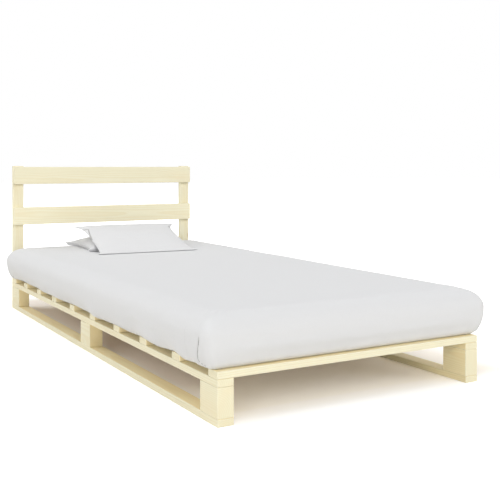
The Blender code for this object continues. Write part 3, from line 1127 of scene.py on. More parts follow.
@dataclass
class Mattress:
    """Foam mattress in a fitted cover, with a dart at each corner and a hem that wanders under its edge."""

    node: str = "mattress"
    belly_share: float = 0.59
    shoulder_inset: float = 0.071
    shoulder_power: float = 2.0
    hem_inset: float = 0.042
    hem_power: float = 2.2
    corner_radius: float = 0.029
    sharpening_share: float = 0.88
    corner_zone: float = 0.110
    corner_cells: int = 18
    cell: float = 0.010
    ring_count: int = 34
    section_samples: int = 801
    top_sag: float = 0.0020
    level_start: float = 0.30
    level_end: float = 0.42
    top_start_share: float = 0.8
    top_slant: float = 0.4
    top_ripples: tuple[Ripple, Ripple] = (Ripple((0.83, 0.37), 3), Ripple((1.1, 0.47), 4))
    side_wave: float = 0.0014
    side_wave_shares: Span = (0.4, 0.6)
    side_ripple: Ripple = Ripple((0.63, 0.29, 0.17), 9)
    hem_start: float = 0.012
    hem_height: float = 0.060
    hem_smoothing: tuple[float, ...] = (0.1, 0.2, 0.4, 0.2, 0.1)
    hem_draw_in: float = 0.0015
    facing_power: int = 4
    foot_hem_inset: float = 0.010
    foot_hem_square_share: float = 0.36
    foot_hem_square_power: float = 3.0
    gather_start: float = 0.004
    gather_height: float = 0.030
    gather_depth: float = 0.0011
    gather_ripple: Ripple = Ripple((0.031, 0.019, 0.012), 8)
    free_wander: float = 0.0060
    free_foot_share: float = 0.15
    free_side_step: float = 3.0
    free_ripple: Ripple = Ripple((0.41, 0.17, 0.093), 5)
    dart_depth: float = 0.0030
    dart_width: float = 0.0024
    dart_pull: float = 0.55
    dart_pull_reach: float = 0.012
    dart_lip_share: float = 0.25
    dart_lip_distance: float = 0.007
    dart_lip_width: float = 0.005
    dart_fade: float = 0.012
    dart_foot_fade: float = 0.008
    dart_reach: float = 0.05
    dart_zone_middle: float = 0.02
    dart_zone_half: float = 0.09
    dart_steps: int = 160
    dart_heights: tuple[float, ...] = (
        0.090, 0.078, 0.0666, 0.0542, 0.0441, 0.0331, 0.0236, 0.0176, 0.0148, 0.0122, 0.0098, 0.0075,
    )
    dart_offsets: tuple[float, ...] = (
        0.0255, 0.0285, 0.0320, 0.0360, 0.0402, 0.0435, 0.0462, 0.0440, 0.0375, 0.0300, 0.0220, 0.0140,
    )
    hem_places: tuple[float, ...] = (
        0.00, 0.07, 0.10, 0.13, 0.15, 0.20, 0.26, 0.28, 0.33, 0.41, 0.48, 0.56, 0.65, 0.70,
        0.80, 0.845, 0.94, 1.03, 1.13, 1.17, 1.29, 1.38, 1.50, 1.61, 1.73, 1.84, 1.94, 2.00,
    )
    hem_offsets: tuple[float, ...] = (
        0.000, -0.006, -0.002, -0.010, -0.012, -0.001, 0.007, 0.001, -0.009, -0.005, 0.004, -0.002, 0.000,
        0.001, -0.003, -0.010, 0.003, 0.005, 0.008, 0.005, -0.002, 0.002, -0.002, 0.009, 0.006, 0.014, 0.004, 0.0,
    )
    filling: Filling = Filling(pressure=1.2, cap=0.0015, bending=4.0)

    def profile(self, height: float) -> tuple[np.ndarray, np.ndarray, np.ndarray]:
        """Work out the side's section in equal steps of its length.

        Args:
            height: The mattress's height.

        Returns:
            The inset from the belly, the height and the corner radius of each ring, from the base up.
        """
        angle = np.linspace(-math.pi / 2, math.pi / 2, self.section_samples)
        above = angle > 0
        bend = np.where(above, 2 / self.shoulder_power, 2 / self.hem_power)
        drawn = 1 - np.abs(np.cos(angle)) ** bend
        inset = drawn * np.where(above, self.shoulder_inset, self.hem_inset)
        belly = height * self.belly_share
        camera_glow = np.where(above, height - belly, belly)
        rise = belly + camera_glow * np.sign(np.sin(angle)) * np.abs(np.sin(angle)) ** bend
        length = self.up_section(inset, rise)
        even = np.linspace(0, length[-1], self.ring_count)
        radius = self.corner_radius * (1 - self.sharpening_share * drawn)
        return np.interp(even, length, inset), np.interp(even, length, rise), np.interp(even, length, radius)

    def up_section(self, insets: np.ndarray, rises: np.ndarray) -> np.ndarray:
        """Length up the side's section to each of its points."""
        return np.concatenate([[0], np.cumsum(np.hypot(np.diff(insets), np.diff(rises)))])

    def side_line(self, half: float, cells: int, inset: float, radius: float) -> tuple[np.ndarray, np.ndarray]:
        """Lay out one side of a ring, from one corner's diagonal to the next.

        Args:
            half: Half the side's length at the belly.
            cells: Cells between the two corner zones.
            inset: The ring's inset.
            radius: The ring's corner radius.

        Returns:
            Places along the side, and how far each lies inside the side's own line.
        """
        straight = self.corner_zone - inset - radius
        reach = straight + radius * math.pi / 4
        gone = np.linspace(1, 0, self.corner_cells + 1) * reach
        angle = np.clip((gone - straight) / radius, 0, None)
        along = np.where(gone < straight, gone, straight + radius * np.sin(angle))
        inside = radius * (1 - np.cos(angle))
        start = half - self.corner_zone
        middle = np.linspace(-start, start, cells + 1)[1:-1]
        places = np.concatenate([-start - along, middle, (start + along)[::-1]])
        return places, np.concatenate([inside, np.zeros(len(middle)), inside[::-1]])

    def loops(
        self,
        half_x: float,
        half_y: float,
        insets: np.ndarray,
        radii: np.ndarray,
    ) -> tuple[np.ndarray, np.ndarray, int, int]:
        """Lay out all rings.

        Args:
            half_x: Half the width at the belly.
            half_y: Half the length at the belly.
            insets: Inset of each ring.
            radii: Corner radius of each ring.

        Returns:
            Plan points by ring and column, outward directions by column, and the cells of each side.
        """
        cells_x = round(2 * (half_x - self.corner_zone) / self.cell)
        cells_y = round(2 * (half_y - self.corner_zone) / self.cell)
        rings = []
        for inset, radius in zip(insets, radii):
            px, qx = self.side_line(half_x, cells_x, inset, radius)
            py, qy = self.side_line(half_y, cells_y, inset, radius)
            fx, fy = half_x - inset, half_y - inset
            foot = np.column_stack([px, -(fy - qx)])[:-1]
            right = np.column_stack([fx - qy, py])[:-1]
            rings.append(np.concatenate([foot, right, -foot, -right]))
        plan = np.array(rings)
        widest = plan[np.argmin(insets)]
        along = np.roll(widest, -1, axis=0) - np.roll(widest, 1, axis=0)
        out = np.column_stack([along[:, 1], -along[:, 0]])
        out /= np.linalg.norm(out, axis=1, keepdims=True)
        return plan, out, cells_x + 2 * self.corner_cells, cells_y + 2 * self.corner_cells

    def hem(self, widest: np.ndarray, out: np.ndarray, foot: float) -> np.ndarray:
        """Work out how far the lower edge is drawn in along each column.

        Args:
            widest: Plan points of the belly.
            out: Outward directions.
            foot: Y of the frame's foot end, about the mattress's middle.

        Returns:
            Inward moves in metres.
        """
        left = np.clip(-out[:, 0], 0, 1) ** self.facing_power
        seen = np.interp(widest[:, 1] - foot, self.hem_places, self.hem_offsets)
        seen = np.convolve(np.pad(seen, len(self.hem_smoothing) // 2, mode="wrap"), self.hem_smoothing, mode="valid")
        line = widest[:, 0] * out[:, 1] - widest[:, 1] * out[:, 0]
        free = self.free_ripple.at(line + self.free_side_step * out[:, 0]) * self.free_wander
        front = np.clip(-out[:, 1], 0, 1) ** self.facing_power
        free = free * (1 - front) + front * self.free_foot_share * free
        return left * (seen + self.hem_draw_in) + (1 - left) * free

    def dart_path(self, rises: np.ndarray, section: np.ndarray) -> np.ndarray:
        """Trace a dart over the unrolled side.

        Args:
            rises: Height of each ring.
            section: Length up the section at each ring.

        Returns:
            Rows of the distance past the corner and the length up the section, from the top down.
        """
        steps = np.linspace(0, 1, self.dart_steps)
        knots = np.linspace(0, 1, len(self.dart_heights))
        up = np.interp(np.interp(steps, knots, self.dart_heights), rises, section)
        return np.column_stack([np.interp(steps, knots, self.dart_offsets), up])

    def darts(
        self,
        points: np.ndarray,
        lengths: np.ndarray,
        section: np.ndarray,
        path: np.ndarray,
        corners: list[tuple[int, int]],
    ) -> tuple[np.ndarray, np.ndarray]:
        """Pull the nearest points to each corner's dart and sink them into it.

        Args:
            points: Points by ring and column. They move.
            lengths: Length round the belly at each column.
            section: Length up the section at each ring.
            path: The dart over the unrolled side.
            corners: Column of each corner's diagonal, with the direction in which its dart lies.

        Returns:
            Each point's signed distance from a dart, and how strongly the dart's groove and painted shade show there.
        """
        around = np.roll(points, -1, axis=1) - np.roll(points, 1, axis=1)
        around /= np.linalg.norm(around, axis=2, keepdims=True)
        up = np.gradient(points, axis=0)
        up /= np.linalg.norm(up, axis=2, keepdims=True)
        inward = np.cross(up, around)
        total = lengths[-1] + (lengths[1] - lengths[0])
        run = lengths_along(path)
        distances = np.full(points.shape[:2], self.dart_reach)
        shown = np.zeros(points.shape[:2])
        for column, way in corners:
            around_here = (lengths - lengths[column] + total / 2) % total - total / 2
            near = np.where(np.abs(around_here - way * self.dart_zone_middle) < self.dart_zone_half)[0]
            flat = np.stack(np.meshgrid(around_here[near], section), axis=-1)
            line = path * (way, 1)
            apart = flat[:, :, None, :] - line[None, None]
            away = np.linalg.norm(apart, axis=3)
            nearest = away.argmin(axis=2)
            rows, cols = np.indices(nearest.shape)
            gap = apart[rows, cols, nearest]
            away = away[rows, cols, nearest]
            drawn = self.dart_pull * np.exp(-(away / self.dart_pull_reach) ** 2)
            left = away * (1 - drawn)
            done = run[nearest]
            strength = smooth_step(done, 0, self.dart_fade) * smooth_step(run[-1] - done, 0, self.dart_foot_fade)
            depth = self.dart_depth * strength * np.exp(-(left / self.dart_width) ** 2)
            past_lip = (left - self.dart_lip_distance) / self.dart_lip_width
            lip = self.dart_lip_share * self.dart_depth * strength * np.exp(-past_lip ** 2)
            block = points[:, near]
            move = -drawn[..., None] * (gap[..., :1] * around[:, near] + gap[..., 1:] * up[:, near])
            points[:, near] = block + move + inward[:, near] * (depth - lip)[..., None]
            tangent = np.gradient(line, axis=0)[nearest]
            side = np.sign(tangent[..., 0] * gap[..., 1] - tangent[..., 1] * gap[..., 0])
            distances[:, near] = np.clip(side * left, -self.dart_reach, self.dart_reach)
            shown[:, near] = strength
        return distances, shown

    def build(self, material: bpy.types.Material) -> bpy.types.Object:
        """Model the mattress in its cover.

        Args:
            material: The cover's finish.

        Returns:
            The mattress.
        """
        low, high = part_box(self.node)
        middle, size = (low + high) / 2, high - low
        insets, rises, radii = self.profile(size.z)
        plan, out, across, along = self.loops(size.x / 2, size.y / 2, insets, radii)
        widest = plan[np.argmin(insets)]
        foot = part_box("slat_01")[0].y - middle.y
        section = self.up_section(insets, rises)
        lengths = lengths_along(widest)
        hem_weight = 1 - smooth_step(rises, self.hem_start, self.hem_height)
        gather_weight = 1 - smooth_step(rises, self.gather_start, self.gather_height)
        wave_low, wave_high = (share * size.z for share in self.side_wave_shares)
        side_weight = smooth_step(rises, 0.0, wave_low) * (1 - smooth_step(rises, wave_high, size.z))
        inward = hem_weight[:, None] * self.hem(widest, out, foot)[None]
        inward += gather_weight[:, None] * (self.gather_ripple.at(lengths) * self.gather_depth)[None]
        inward += side_weight[:, None] * (self.side_ripple.at(lengths) * self.side_wave)[None]
        squared = (rises < self.belly_share * size.z) * np.clip(insets - self.foot_hem_inset, 0, None)
        squared = squared[:, None] * (np.clip(-out[:, 1], 0, 1) ** self.foot_hem_square_power)[None]
        inward -= squared * self.foot_hem_square_share
        points = np.empty((len(insets), plan.shape[1], 3))
        points[:, :, :2] = plan - inward[..., None] * out[None]
        points[:, :, 2] = rises[:, None]
        corners = [(0, -1), (across, 1), (across + along, -1), (2 * across + along, 1)]
        distances, shown = self.darts(points, lengths, section, self.dart_path(rises, section), corners)
        piece = self.closed(points, across, along, lengths, section)
        # The darts' distance and strength drive the cover's groove and painted shade.
        for name, values, rest in ((SEAM_DISTANCE, distances, self.dart_reach), (SEAM_STRENGTH, shown, 0.0)):
            spread = np.full(len(piece.data.vertices), rest)
            spread[: values.size] = values.ravel()
            note(piece, name, spread)
        moved = points_of(piece)
        top = smooth_step(moved[:, 2], self.top_start_share * size.z, size.z)
        across_top, along_top = self.top_ripples
        waves = across_top.at(moved[:, 0] + self.top_slant * moved[:, 1]) * along_top.at(moved[:, 1])
        bare = 1 - smooth_step(moved[:, 1], self.level_start, self.level_end)
        moved[:, 2] -= top * bare * self.top_sag * (1 + waves) / 2
        moved += np.array([middle.x, middle.y, low.z])
        set_points(piece, moved)
        self.filling.swell(piece)
        kept = np.clip(points_of(piece), np.array(low), np.array(high))
        set_points(piece, kept)
        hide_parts(self.node)
        settle(piece, material)
        return piece

    def closed(
        self,
        points: np.ndarray,
        across: int,
        along: int,
        lengths: np.ndarray,
        section: np.ndarray,
    ) -> bpy.types.Object:
        """Close the rings with a gridded base and top.

        Args:
            points: Points by ring and column.
            across: Cells across the foot side.
            along: Cells along a long side.
            lengths: Length round the bulge at each column.
            section: Length up the section at each ring.

        Returns:
            The closed form.
        """
        rings, columns = points.shape[:2]
        total = lengths[-1] + (lengths[1] - lengths[0])
        ring, column = np.meshgrid(np.arange(rings - 1), np.arange(columns), indexing="ij")
        after = (column + 1) % columns
        here, above = ring * columns, (ring + 1) * columns
        sides = np.stack([here + column, here + after, above + after, above + column], axis=-1)
        ends = np.where(column + 1 < columns, lengths[after], total)
        v0, v1 = section[ring], section[ring + 1]
        u0 = lengths[column]
        side_uv = np.stack([np.stack(p, axis=-1) for p in ((u0, v0), (ends, v0), (ends, v1), (u0, v1))], axis=-2)
        all_points = [points.reshape(-1, 3)]
        all_quads = [sides.reshape(-1, 4)]
        all_uvs = [side_uv.reshape(-1, 4, 2)]
        count = rings * columns
        for level, flip in ((0, True), (rings - 1, False)):
            number = np.full((across + 1, along + 1), -1)
            edge = level * columns + np.arange(columns)
            number[:, 0] = edge[: across + 1]
            number[-1, :] = edge[across : across + along + 1]
            number[::-1, -1] = edge[across + along : 2 * across + along + 1]
            number[0, ::-1] = np.append(edge[2 * across + along :], edge[0])
            x = points[level, : across + 1, 0]
            y = points[level, across : across + along + 1, 1]
            grid_x, grid_y = np.meshgrid(x[1:-1], y[1:-1], indexing="ij")
            grid = np.stack([grid_x, grid_y, np.full(grid_x.shape, points[level, 0, 2])], axis=-1)
            number[1:-1, 1:-1] = count + np.arange(grid_x.size).reshape(grid_x.shape)
            count += grid_x.size
            quads = grid_quads(number)
            if flip:
                quads = quads[:, ::-1]
            all_points.append(grid.reshape(-1, 3))
            all_quads.append(quads)
            all_uvs.append(np.concatenate(all_points)[quads][..., :2])
        return quad_mesh("covered_mattress", *(np.concatenate(part) for part in (all_points, all_quads, all_uvs)))


@dataclass
class Pillow:
    """Pillow in a case with a narrow flange, laid over what is under it."""

    node: str
    height: float
    ear_lift: float
    sag: float
    seed: int
    width: float = 0.499
    depth: float = 0.355
    side_draw_in_share: float = 0.164
    end_draw_in_share: float = 0.01
    front_ear_share: float = 0.60
    ear_power: float = 5.0
    seam_height: float = 0.0026
    crown_power: float = 2.4
    fill_power: float = 0.52
    flat_share: float = 0.85
    round_share: float = 0.93
    swell: float = 0.003
    side_hem: float = 0.004
    end_hem: float = 0.004
    hem_thickness: float = 0.0044
    front_lift: float = 0.002
    front_lift_power: int = 8
    seam_samples: int = 41
    side_crease: tuple[Span, ...] = ()
    # strength of the crease's groove and painted shade
    crease_and_shade_strength: float = 0.6
    rim_crease: float = 0.8
    edge_wander: float = 0.0012
    edge_power: int = 4
    end_lengths: Colour = (0.23, 0.11, 0.07)
    side_lengths: Colour = (0.19, 0.09, 0.06)
    cells_across: int = 100
    cells_along: int = 76
    crowding: float = 0.86
    filling: Filling = Filling(pressure=4.0, cap=0.004, bending=0.3)

    def plan(self, a: np.ndarray, b: np.ndarray) -> tuple[np.ndarray, np.ndarray]:
        """Lay out the pillow in plan.

        Args:
            a: Shares of the half width, from -1 to 1.
            b: Shares of the half depth, from -1 to 1.

        Returns:
            X and Y about the pillow's middle.
        """
        flare = np.abs(b) ** self.ear_power * np.where(b < 0, self.front_ear_share, 1.0)
        x = a * self.width / 2 * (1 - self.side_draw_in_share * (1 - flare) * a ** 2)
        y = b * self.depth / 2 * (1 - self.end_draw_in_share * (1 - np.abs(a) ** self.ear_power) * b ** 2)
        return x, y

    def fill(self, a: np.ndarray, b: np.ndarray) -> np.ndarray:
        """Share of the full height, 1 in the middle and 0 at the seam."""
        room = (1 - np.abs(a) ** self.crown_power) * (1 - np.abs(b) ** self.crown_power)
        return np.clip(room, 0, None) ** self.fill_power

    def seam(self, a: np.ndarray, b: np.ndarray) -> np.ndarray:
        """Height of the seam; the ears towards the headboard stand off it, and the front corners a little."""
        ears = self.ear_lift * np.abs(a * np.clip(b, 0, None)) ** self.ear_power
        return self.seam_height + ears + self.front_lift * np.abs(a * np.clip(-b, 0, None)) ** self.front_lift_power

    def crown(self, a: np.ndarray, b: np.ndarray, shrink: float = 0.0) -> np.ndarray:
        """Height of the upper side."""
        return self.seam(a, b) + (self.height - self.seam_height - shrink) * self.fill(a, b)

    def underside(self, a: np.ndarray, b: np.ndarray) -> np.ndarray:
        """Height of the underside: rounded up to the seam at the edge, and as far down as the sag inside it."""
        outer = (np.maximum(np.abs(a), np.abs(b)) - self.round_share) / (1 - self.round_share)
        return self.seam(a, b) * (1 - np.sqrt(1 - np.clip(outer, 0, 1) ** 2)) - self.sag * self.fill(a, b)

    def spread(self, cells: int, rim: float) -> np.ndarray:
        """Spread grid lines from one edge to the other, closer together towards the rim.

        Args:
            cells: Number of cells.
            rim: Share of the half width that the hem takes.

        Returns:
            Shares from -1 to 1.
        """
        inner = np.linspace(-1, 1, cells - 3) * math.pi / 2 * self.crowding
        inner = np.sin(inner) / math.sin(math.pi / 2 * self.crowding)
        return np.concatenate([[-1, -1 + rim * 0.5], inner * (1 - rim), [1 - rim * 0.5, 1]])

    def crease_distance(self, x: np.ndarray, y: np.ndarray) -> np.ndarray:
        """Work out how far points lie, in plan, from the crease inside either side.

        Args:
            x: Places across, about the pillow's middle.
            y: Places along, about the pillow's middle.

        Returns:
            The distances. A pillow without a crease of its own is creased along its side seams.
        """
        line = np.array(self.side_crease)
        if not self.side_crease:
            shares = np.linspace(-1, 1, self.seam_samples)
            line = np.column_stack(self.plan(-np.ones(self.seam_samples), shares))
        start, way = line[:-1], np.diff(line, axis=0)
        apart = np.stack([-np.abs(x), y], axis=-1)[..., None, :] - start
        share = np.clip((apart * way).sum(axis=-1) / (way ** 2).sum(axis=-1), 0, 1)
        return np.linalg.norm(apart - share[..., None] * way, axis=-1).min(axis=-1)


Support = Callable[[np.ndarray, np.ndarray], tuple[np.ndarray, np.ndarray]]


@dataclass
class Pillows:
    """The flat pillow and the one that leans on it."""

    lower: Pillow = field(default_factory=lambda: Pillow(
        "lower_pillow", 0.058, 0.005, 0.0, seed=21,
        seam_height=0.010, round_share=0.97, front_lift=0.0, crease_and_shade_strength=0.12,
    ))
    upper: Pillow = field(default_factory=lambda: Pillow(
        "upper_pillow", 0.029, 0.0, 0.016, seed=34, fill_power=0.50,
        side_crease=(
            (-0.2160, 0.1280), (-0.2050, 0.1160), (-0.1963, 0.1063), (-0.1992, 0.0905),
            (-0.2023, 0.0705), (-0.2043, 0.0497), (-0.2061, 0.0266), (-0.2085, 0.0),
        ),
    ))
    turn: float = math.radians(-3.8)
    head_clearance: float = 0.040
    shift: float = 0.013
    upper_shift: float = 0.007
    upper_lead: float = 0.129
    lean: float = math.radians(16)
    contact_margin: float = 0.012
    contact_gap: float = 0.001
    rest_gap: float = 0.0003

    def level(self, x: np.ndarray, y: np.ndarray) -> tuple[np.ndarray, np.ndarray]:
        """Plane and floor of the lower pillow: the mattress top."""
        return np.zeros_like(x), np.zeros_like(x)

    def leaning(self, x: np.ndarray, y: np.ndarray) -> tuple[np.ndarray, np.ndarray]:
        """Plane and floor of the upper pillow.

        Args:
            x: Places across, about the pillow's middle.
            y: Places along, about the pillow's middle.

        Returns:
            The slope that the pillow follows, and the heights that its underside stays above.
        """
        under = self.lower
        hinge = -self.upper.flat_share * self.upper.depth / 2
        slope = np.clip(y - hinge, 0, None) * math.tan(self.lean)
        a = (x + self.upper_shift) / (under.width / 2 + self.contact_margin)
        b = (y - self.upper_lead) / (under.depth / 2 + self.contact_margin)
        inside = (np.abs(a) <= 1) & (np.abs(b) <= 1)
        crown = under.crown(np.clip(a, -1, 1), np.clip(b, -1, 1)) + self.contact_gap
        floor = np.where(inside, crown, 0.0)
        return np.maximum(slope, floor), floor

    def form(self, pillow: Pillow, support: Support) -> tuple[bpy.types.Object, np.ndarray, np.ndarray]:
        """Model one pillow over its support, a little flatter than it ends up.

        Args:
            pillow: The pillow's sizes.
            support: Gives the pillow's plane and floor under a point.

        Returns:
            The pillow, and the lowest and the highest that each of its points may lie.
        """
        rim_a, rim_b = 2 * pillow.side_hem / pillow.width, 2 * pillow.end_hem / pillow.depth
        across, along = pillow.spread(pillow.cells_across, rim_a), pillow.spread(pillow.cells_along, rim_b)
        a, b = np.meshgrid(across, along, indexing="ij")
        x, y = pillow.plan(a, b)
        y += pillow.edge_wander * Ripple(pillow.end_lengths, pillow.seed).at(x) * b ** pillow.edge_power
        x += pillow.edge_wander * Ripple(pillow.side_lengths, pillow.seed + 1).at(y) * a ** pillow.edge_power
        plane, floor = support(x, y)
        inner_a, inner_b = np.clip(a / (1 - rim_a), -1, 1), np.clip(b / (1 - rim_b), -1, 1)
        middle_line = pillow.seam(a, b)
        half = pillow.hem_thickness / 2
        top = plane + np.maximum(pillow.crown(inner_a, inner_b, pillow.swell), middle_line + half)
        highest = plane + np.maximum(pillow.crown(a, b), middle_line + half)
        under = np.maximum(floor, plane + np.minimum(pillow.underside(inner_a, inner_b), middle_line - half))
        rows, columns = a.shape
        rim = np.zeros(a.shape, bool)
        rim[[0, -1], :] = True
        rim[:, [0, -1]] = True
        for height in (top, highest):
            height[rim] = (plane + middle_line)[rim]
        number = np.arange(rows * columns).reshape(rows, columns)
        lower_number = number.copy()
        lower_number[~rim] = rows * columns + np.arange((~rim).sum())
        points = np.concatenate([
            np.column_stack([x.ravel(), y.ravel(), top.ravel()]),
            np.column_stack([x[~rim], y[~rim], under[~rim]]),
        ])
        faces = np.concatenate([grid_quads(number), grid_quads(lower_number)[:, ::-1]])
        piece = quad_mesh(pillow.node.replace("_pillow", "_stuffed_pillow"), points, faces, points[faces][..., :2])
        self.attach(pillow, piece, rim, number[[0, 0, -1, -1], [0, -1, 0, -1]])
        lowest = np.concatenate([floor.ravel(), floor[~rim]])
        return piece, lowest, np.concatenate([highest.ravel(), highest[~rim]])

    def attach(self, pillow: Pillow, piece: bpy.types.Object, rim: np.ndarray, corners: np.ndarray) -> None:
        """Note the creases' distance on a pillow's points, where the cotton gets a groove and painted shade, and keep
        its rim and corners crisp.

        Args:
            pillow: The pillow's sizes.
            piece: The pillow.
            rim: Which points of the grid lie on the rim.
            corners: Numbers of the four corner points.
        """
        points = points_of(piece)
        note(piece, SEAM_DISTANCE, pillow.crease_distance(points[:, 0], points[:, 1]))
        note(piece, SEAM_STRENGTH, np.full(len(points), pillow.crease_and_shade_strength))
        sharp = np.zeros(len(points))
        sharp[corners] = 1.0
        note(piece, "crease_vert", sharp)
        edges = np.empty(len(piece.data.edges) * 2, np.int32)
        piece.data.edges.foreach_get("vertices", edges)
        on_rim = np.zeros(len(points), bool)
        on_rim[: rim.size] = rim.ravel()
        note(piece, "crease_edge", on_rim[edges.reshape(-1, 2)].all(axis=1) * pillow.rim_crease, "EDGE")

    def build(self, material: bpy.types.Material) -> None:
        """Model both pillows, swell them and lay them down.

        Args:
            material: The cases' finish.
        """
        rail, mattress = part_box("lower_headboard_rail"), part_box("mattress")
        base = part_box(self.lower.node)[0].z
        back = rail[0].y - self.head_clearance - self.lower.depth / 2
        pair = Matrix.Translation(((mattress[0].x + mattress[1].x) / 2 + self.shift, back, base))
        pair = pair @ Matrix.Rotation(self.turn, 4, "Z")
        lead = Matrix.Translation((self.upper_shift, -self.upper_lead, 0.0))
        for pillow, support, place in ((self.lower, self.level, pair), (self.upper, self.leaning, pair @ lead)):
            piece, lowest, highest = self.form(pillow, support)
            start = points_of(piece)
            pillow.filling.swell(piece)
            points = points_of(piece)
            points[:, 2] = np.clip(points[:, 2], np.minimum(start[:, 2], lowest + self.rest_gap), highest)
            set_points(piece, points)
            smooth = piece.modifiers.new("smooth", "SUBSURF")
            smooth.levels = smooth.render_levels = 1
            apply_modifiers(piece)
            piece.data.shade_smooth()
            piece.data.transform(place)
            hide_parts(pillow.node)
            settle(piece, material)


# Studio


@dataclass(frozen=True)
class Lamp:
    """Soft square lamp, placed by its direction from the bed."""

    name: str
    azimuth: float
    elevation: float
    power: float
    size: float
    distance: float = 13.0
    aim: Colour = (0.0, 0.0, 0.2)

    def hang(self) -> None:
        """Hang the lamp, facing the bed and unseen by the camera."""
        turn, rise = math.radians(self.azimuth), math.radians(self.elevation)
        way = Vector((math.sin(turn) * math.cos(rise), -math.cos(turn) * math.cos(rise), math.sin(rise)))
        place = way * self.distance
        light = bpy.data.lights.new(self.name, "AREA")
        light.shape = "SQUARE"
        light.size = self.size
        light.energy = self.power
        holder = bpy.data.objects.new(self.name, light)
        holder.location = place
        holder.rotation_euler = (Vector(self.aim) - place).to_track_quat("-Z", "Y").to_euler()
        holder.visible_camera = False
        bpy.context.scene.collection.objects.link(holder)


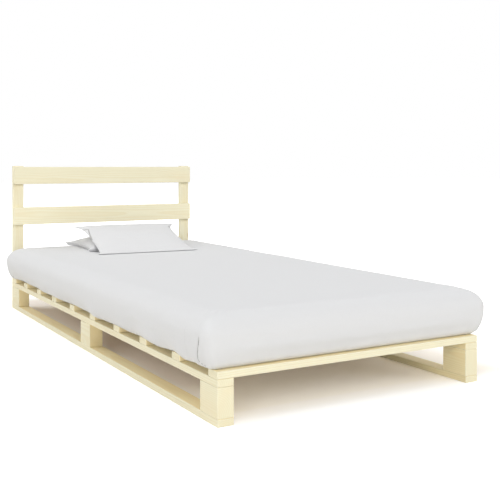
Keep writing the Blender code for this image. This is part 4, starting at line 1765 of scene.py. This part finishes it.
@dataclass
class Studio:
    """Pale floor, soft light and the camera at the photograph's place."""

    camera_place: Colour = (-1.4197, -2.8475, 0.6596)
    camera_yaw: float = 30.1808
    lens: float = 59.27
    sensor: float = 36.0
    shift: float = -0.1682
    floor_size: float = 60.0
    floor_roughness: float = 0.9
    floor_colour: Colour = (0.965, 0.945, 0.900)
    # Camera-only glow of the floor: painted warm glow in the bed's shade, painted deeper shade along its left side,
    # and painted light that washes out the shadow just outside the bed.
    painted_under_bed_glow: Colour = (0.142, 0.103, 0.066)
    painted_deep_shade_glow: Colour = (0.057, 0.017, 0.0)
    deep_across: Span = (-0.28, -0.10)
    deep_along: Span = (-0.72, -0.58)
    painted_open_glow: Colour = (0.33, 0.34, 0.37)
    shade_middle: Colour = (0.125, 0.125, 0.0)
    shade_half: Colour = (0.575, 1.143, 1.0)
    shade_edge: Span = (-0.11, 0.01)
    far: Span = (2.0, 7.0)
    far_lift: Colour = (1.0, 1.0, 1.0)
    sky: float = 0.03
    lamps: tuple[Lamp, ...] = (
        Lamp("front_lamp", 0.0, 35.0, 620.0, 7.5),
        Lamp("low_left_lamp", -85.0, 18.0, 200.0, 5.5),
        Lamp("low_front_left_lamp", -45.0, 18.0, 500.0, 5.5),
        Lamp("low_front_right_lamp", 40.0, 18.0, 330.0, 5.5),
        Lamp("back_left_lamp", -135.0, 40.0, 645.0, 7.5),
        Lamp("back_right_lamp", 135.0, 40.0, 320.0, 7.5),
        Lamp("top_lamp", 0.0, 89.0, 385.0, 8.0, 10.0),
    )

    def add_floor(self) -> None:
        """Add the floor, which isn't part of the bed, and give it a glow that only the camera sees: white far off,
        painted light that washes out the bed's shadow just outside it, and a painted warm glow in the shade under the
        bed, warmer and darker along its left side.
        """
        deselect()
        bpy.ops.mesh.primitive_plane_add(size=self.floor_size, location=(0, 0, 0))
        floor = bpy.context.object
        floor.name = "studio_floor"
        graph = ShaderGraph("studio_floor")
        graph.feed(graph.shader.inputs["Base Color"], self.floor_colour)
        graph.tune({"Roughness": self.floor_roughness, "Specular IOR Level": 0.0})
        place = graph.place()
        offset = graph.vector("SUBTRACT", place, self.shade_middle).outputs[0]
        past = graph.vector("SUBTRACT", graph.vector("ABSOLUTE", offset).outputs[0], self.shade_half).outputs[0]
        outside = graph.vector("MAXIMUM", past, (0.0, 0.0, 0.0)).outputs[0]
        beyond = graph.vector("LENGTH", outside).outputs["Value"]
        past_x, past_y, _ = graph.split(past)
        within = graph.math("MINIMUM", graph.math("MAXIMUM", past_x, past_y), 0.0)
        clear = graph.step(graph.math("ADD", beyond, within), *self.shade_edge)
        x, y, _ = graph.split(place)
        deep_shade_mask = graph.times(graph.rest(graph.step(x, *self.deep_across)), graph.step(y, *self.deep_along))
        # Painted light and shade on the floor, seen by the camera only.
        camera_glow = graph.blend(clear, graph.blend(deep_shade_mask, self.painted_under_bed_glow, self.painted_deep_shade_glow), self.painted_open_glow)
        away = graph.vector("LENGTH", place).outputs["Value"]
        camera_glow = graph.blend(graph.step(away, *self.far), camera_glow, self.far_lift)
        graph.feed(graph.shader.inputs["Emission Color"], camera_glow)
        graph.feed(graph.shader.inputs["Emission Strength"], graph.add("ShaderNodeLightPath").outputs["Is Camera Ray"])
        floor.data.materials.append(graph.material)

    def add_sky(self) -> None:
        """Light the bed evenly from all round, and show white to the camera and in reflections."""
        world = bpy.data.worlds.new("studio_sky")
        bpy.context.scene.world = world
        world.use_nodes = True
        tree = world.node_tree
        light = tree.nodes["Background"]
        white = tree.nodes.new("ShaderNodeBackground")
        for shade, strength in ((light, self.sky), (white, 1.0)):
            shade.inputs["Color"].default_value = (1.0, 1.0, 1.0, 1.0)
            shade.inputs["Strength"].default_value = strength
        path = tree.nodes.new("ShaderNodeLightPath")
        seen = path.outputs["Is Camera Ray"]
        for ray in ("Is Glossy Ray", "Is Transmission Ray"):
            either = tree.nodes.new("ShaderNodeMath")
            either.operation = "MAXIMUM"
            tree.links.new(seen, either.inputs[0])
            tree.links.new(path.outputs[ray], either.inputs[1])
            seen = either.outputs[0]
        mix = tree.nodes.new("ShaderNodeMixShader")
        for socket, source in zip(mix.inputs, (seen, light.outputs[0], white.outputs[0])):
            tree.links.new(source, socket)
        tree.links.new(mix.outputs[0], tree.nodes["World Output"].inputs["Surface"])

    def add_camera(self) -> None:
        """Add the camera, level, with the view shifted down to the bed."""
        lens = bpy.data.cameras.new("photo_camera")
        lens.sensor_width = self.sensor
        lens.lens = self.lens
        lens.shift_y = self.shift
        camera = bpy.data.objects.new("photo_camera", lens)
        camera.location = self.camera_place
        camera.rotation_euler = (math.pi / 2, 0.0, -math.radians(self.camera_yaw))
        bpy.context.scene.collection.objects.link(camera)
        bpy.context.scene.camera = camera

    def build(self) -> None:
        """Set the stage."""
        self.add_floor()
        self.add_sky()
        for lamp in self.lamps:
            lamp.hang()
        self.add_camera()
        bpy.context.scene.view_settings.view_transform = "Standard"


def main() -> None:
    """Dress the frame's solids, model what replaces them and set the stage."""
    logging.basicConfig(level=logging.INFO, format="%(name)s: %(message)s")
    Timber().dress(PineFinish())
    zinc = ZincFinish().material("zinc_plate")
    Screws().build(zinc)
    Nails().build(zinc)
    cotton = CottonFinish()
    Mattress().build(cotton.material("mattress_cotton", CLOTH_MAP, seamed=True))
    case = CottonFinish(colour=(0.716, 0.716, 0.720), crease_lumps=(14.0, 14.0, 14.0), seam_width=0.0030)
    Pillows().build(case.material("pillow_cotton", seamed=True))
    Studio().build()


if __name__ == "__main__":
    main()
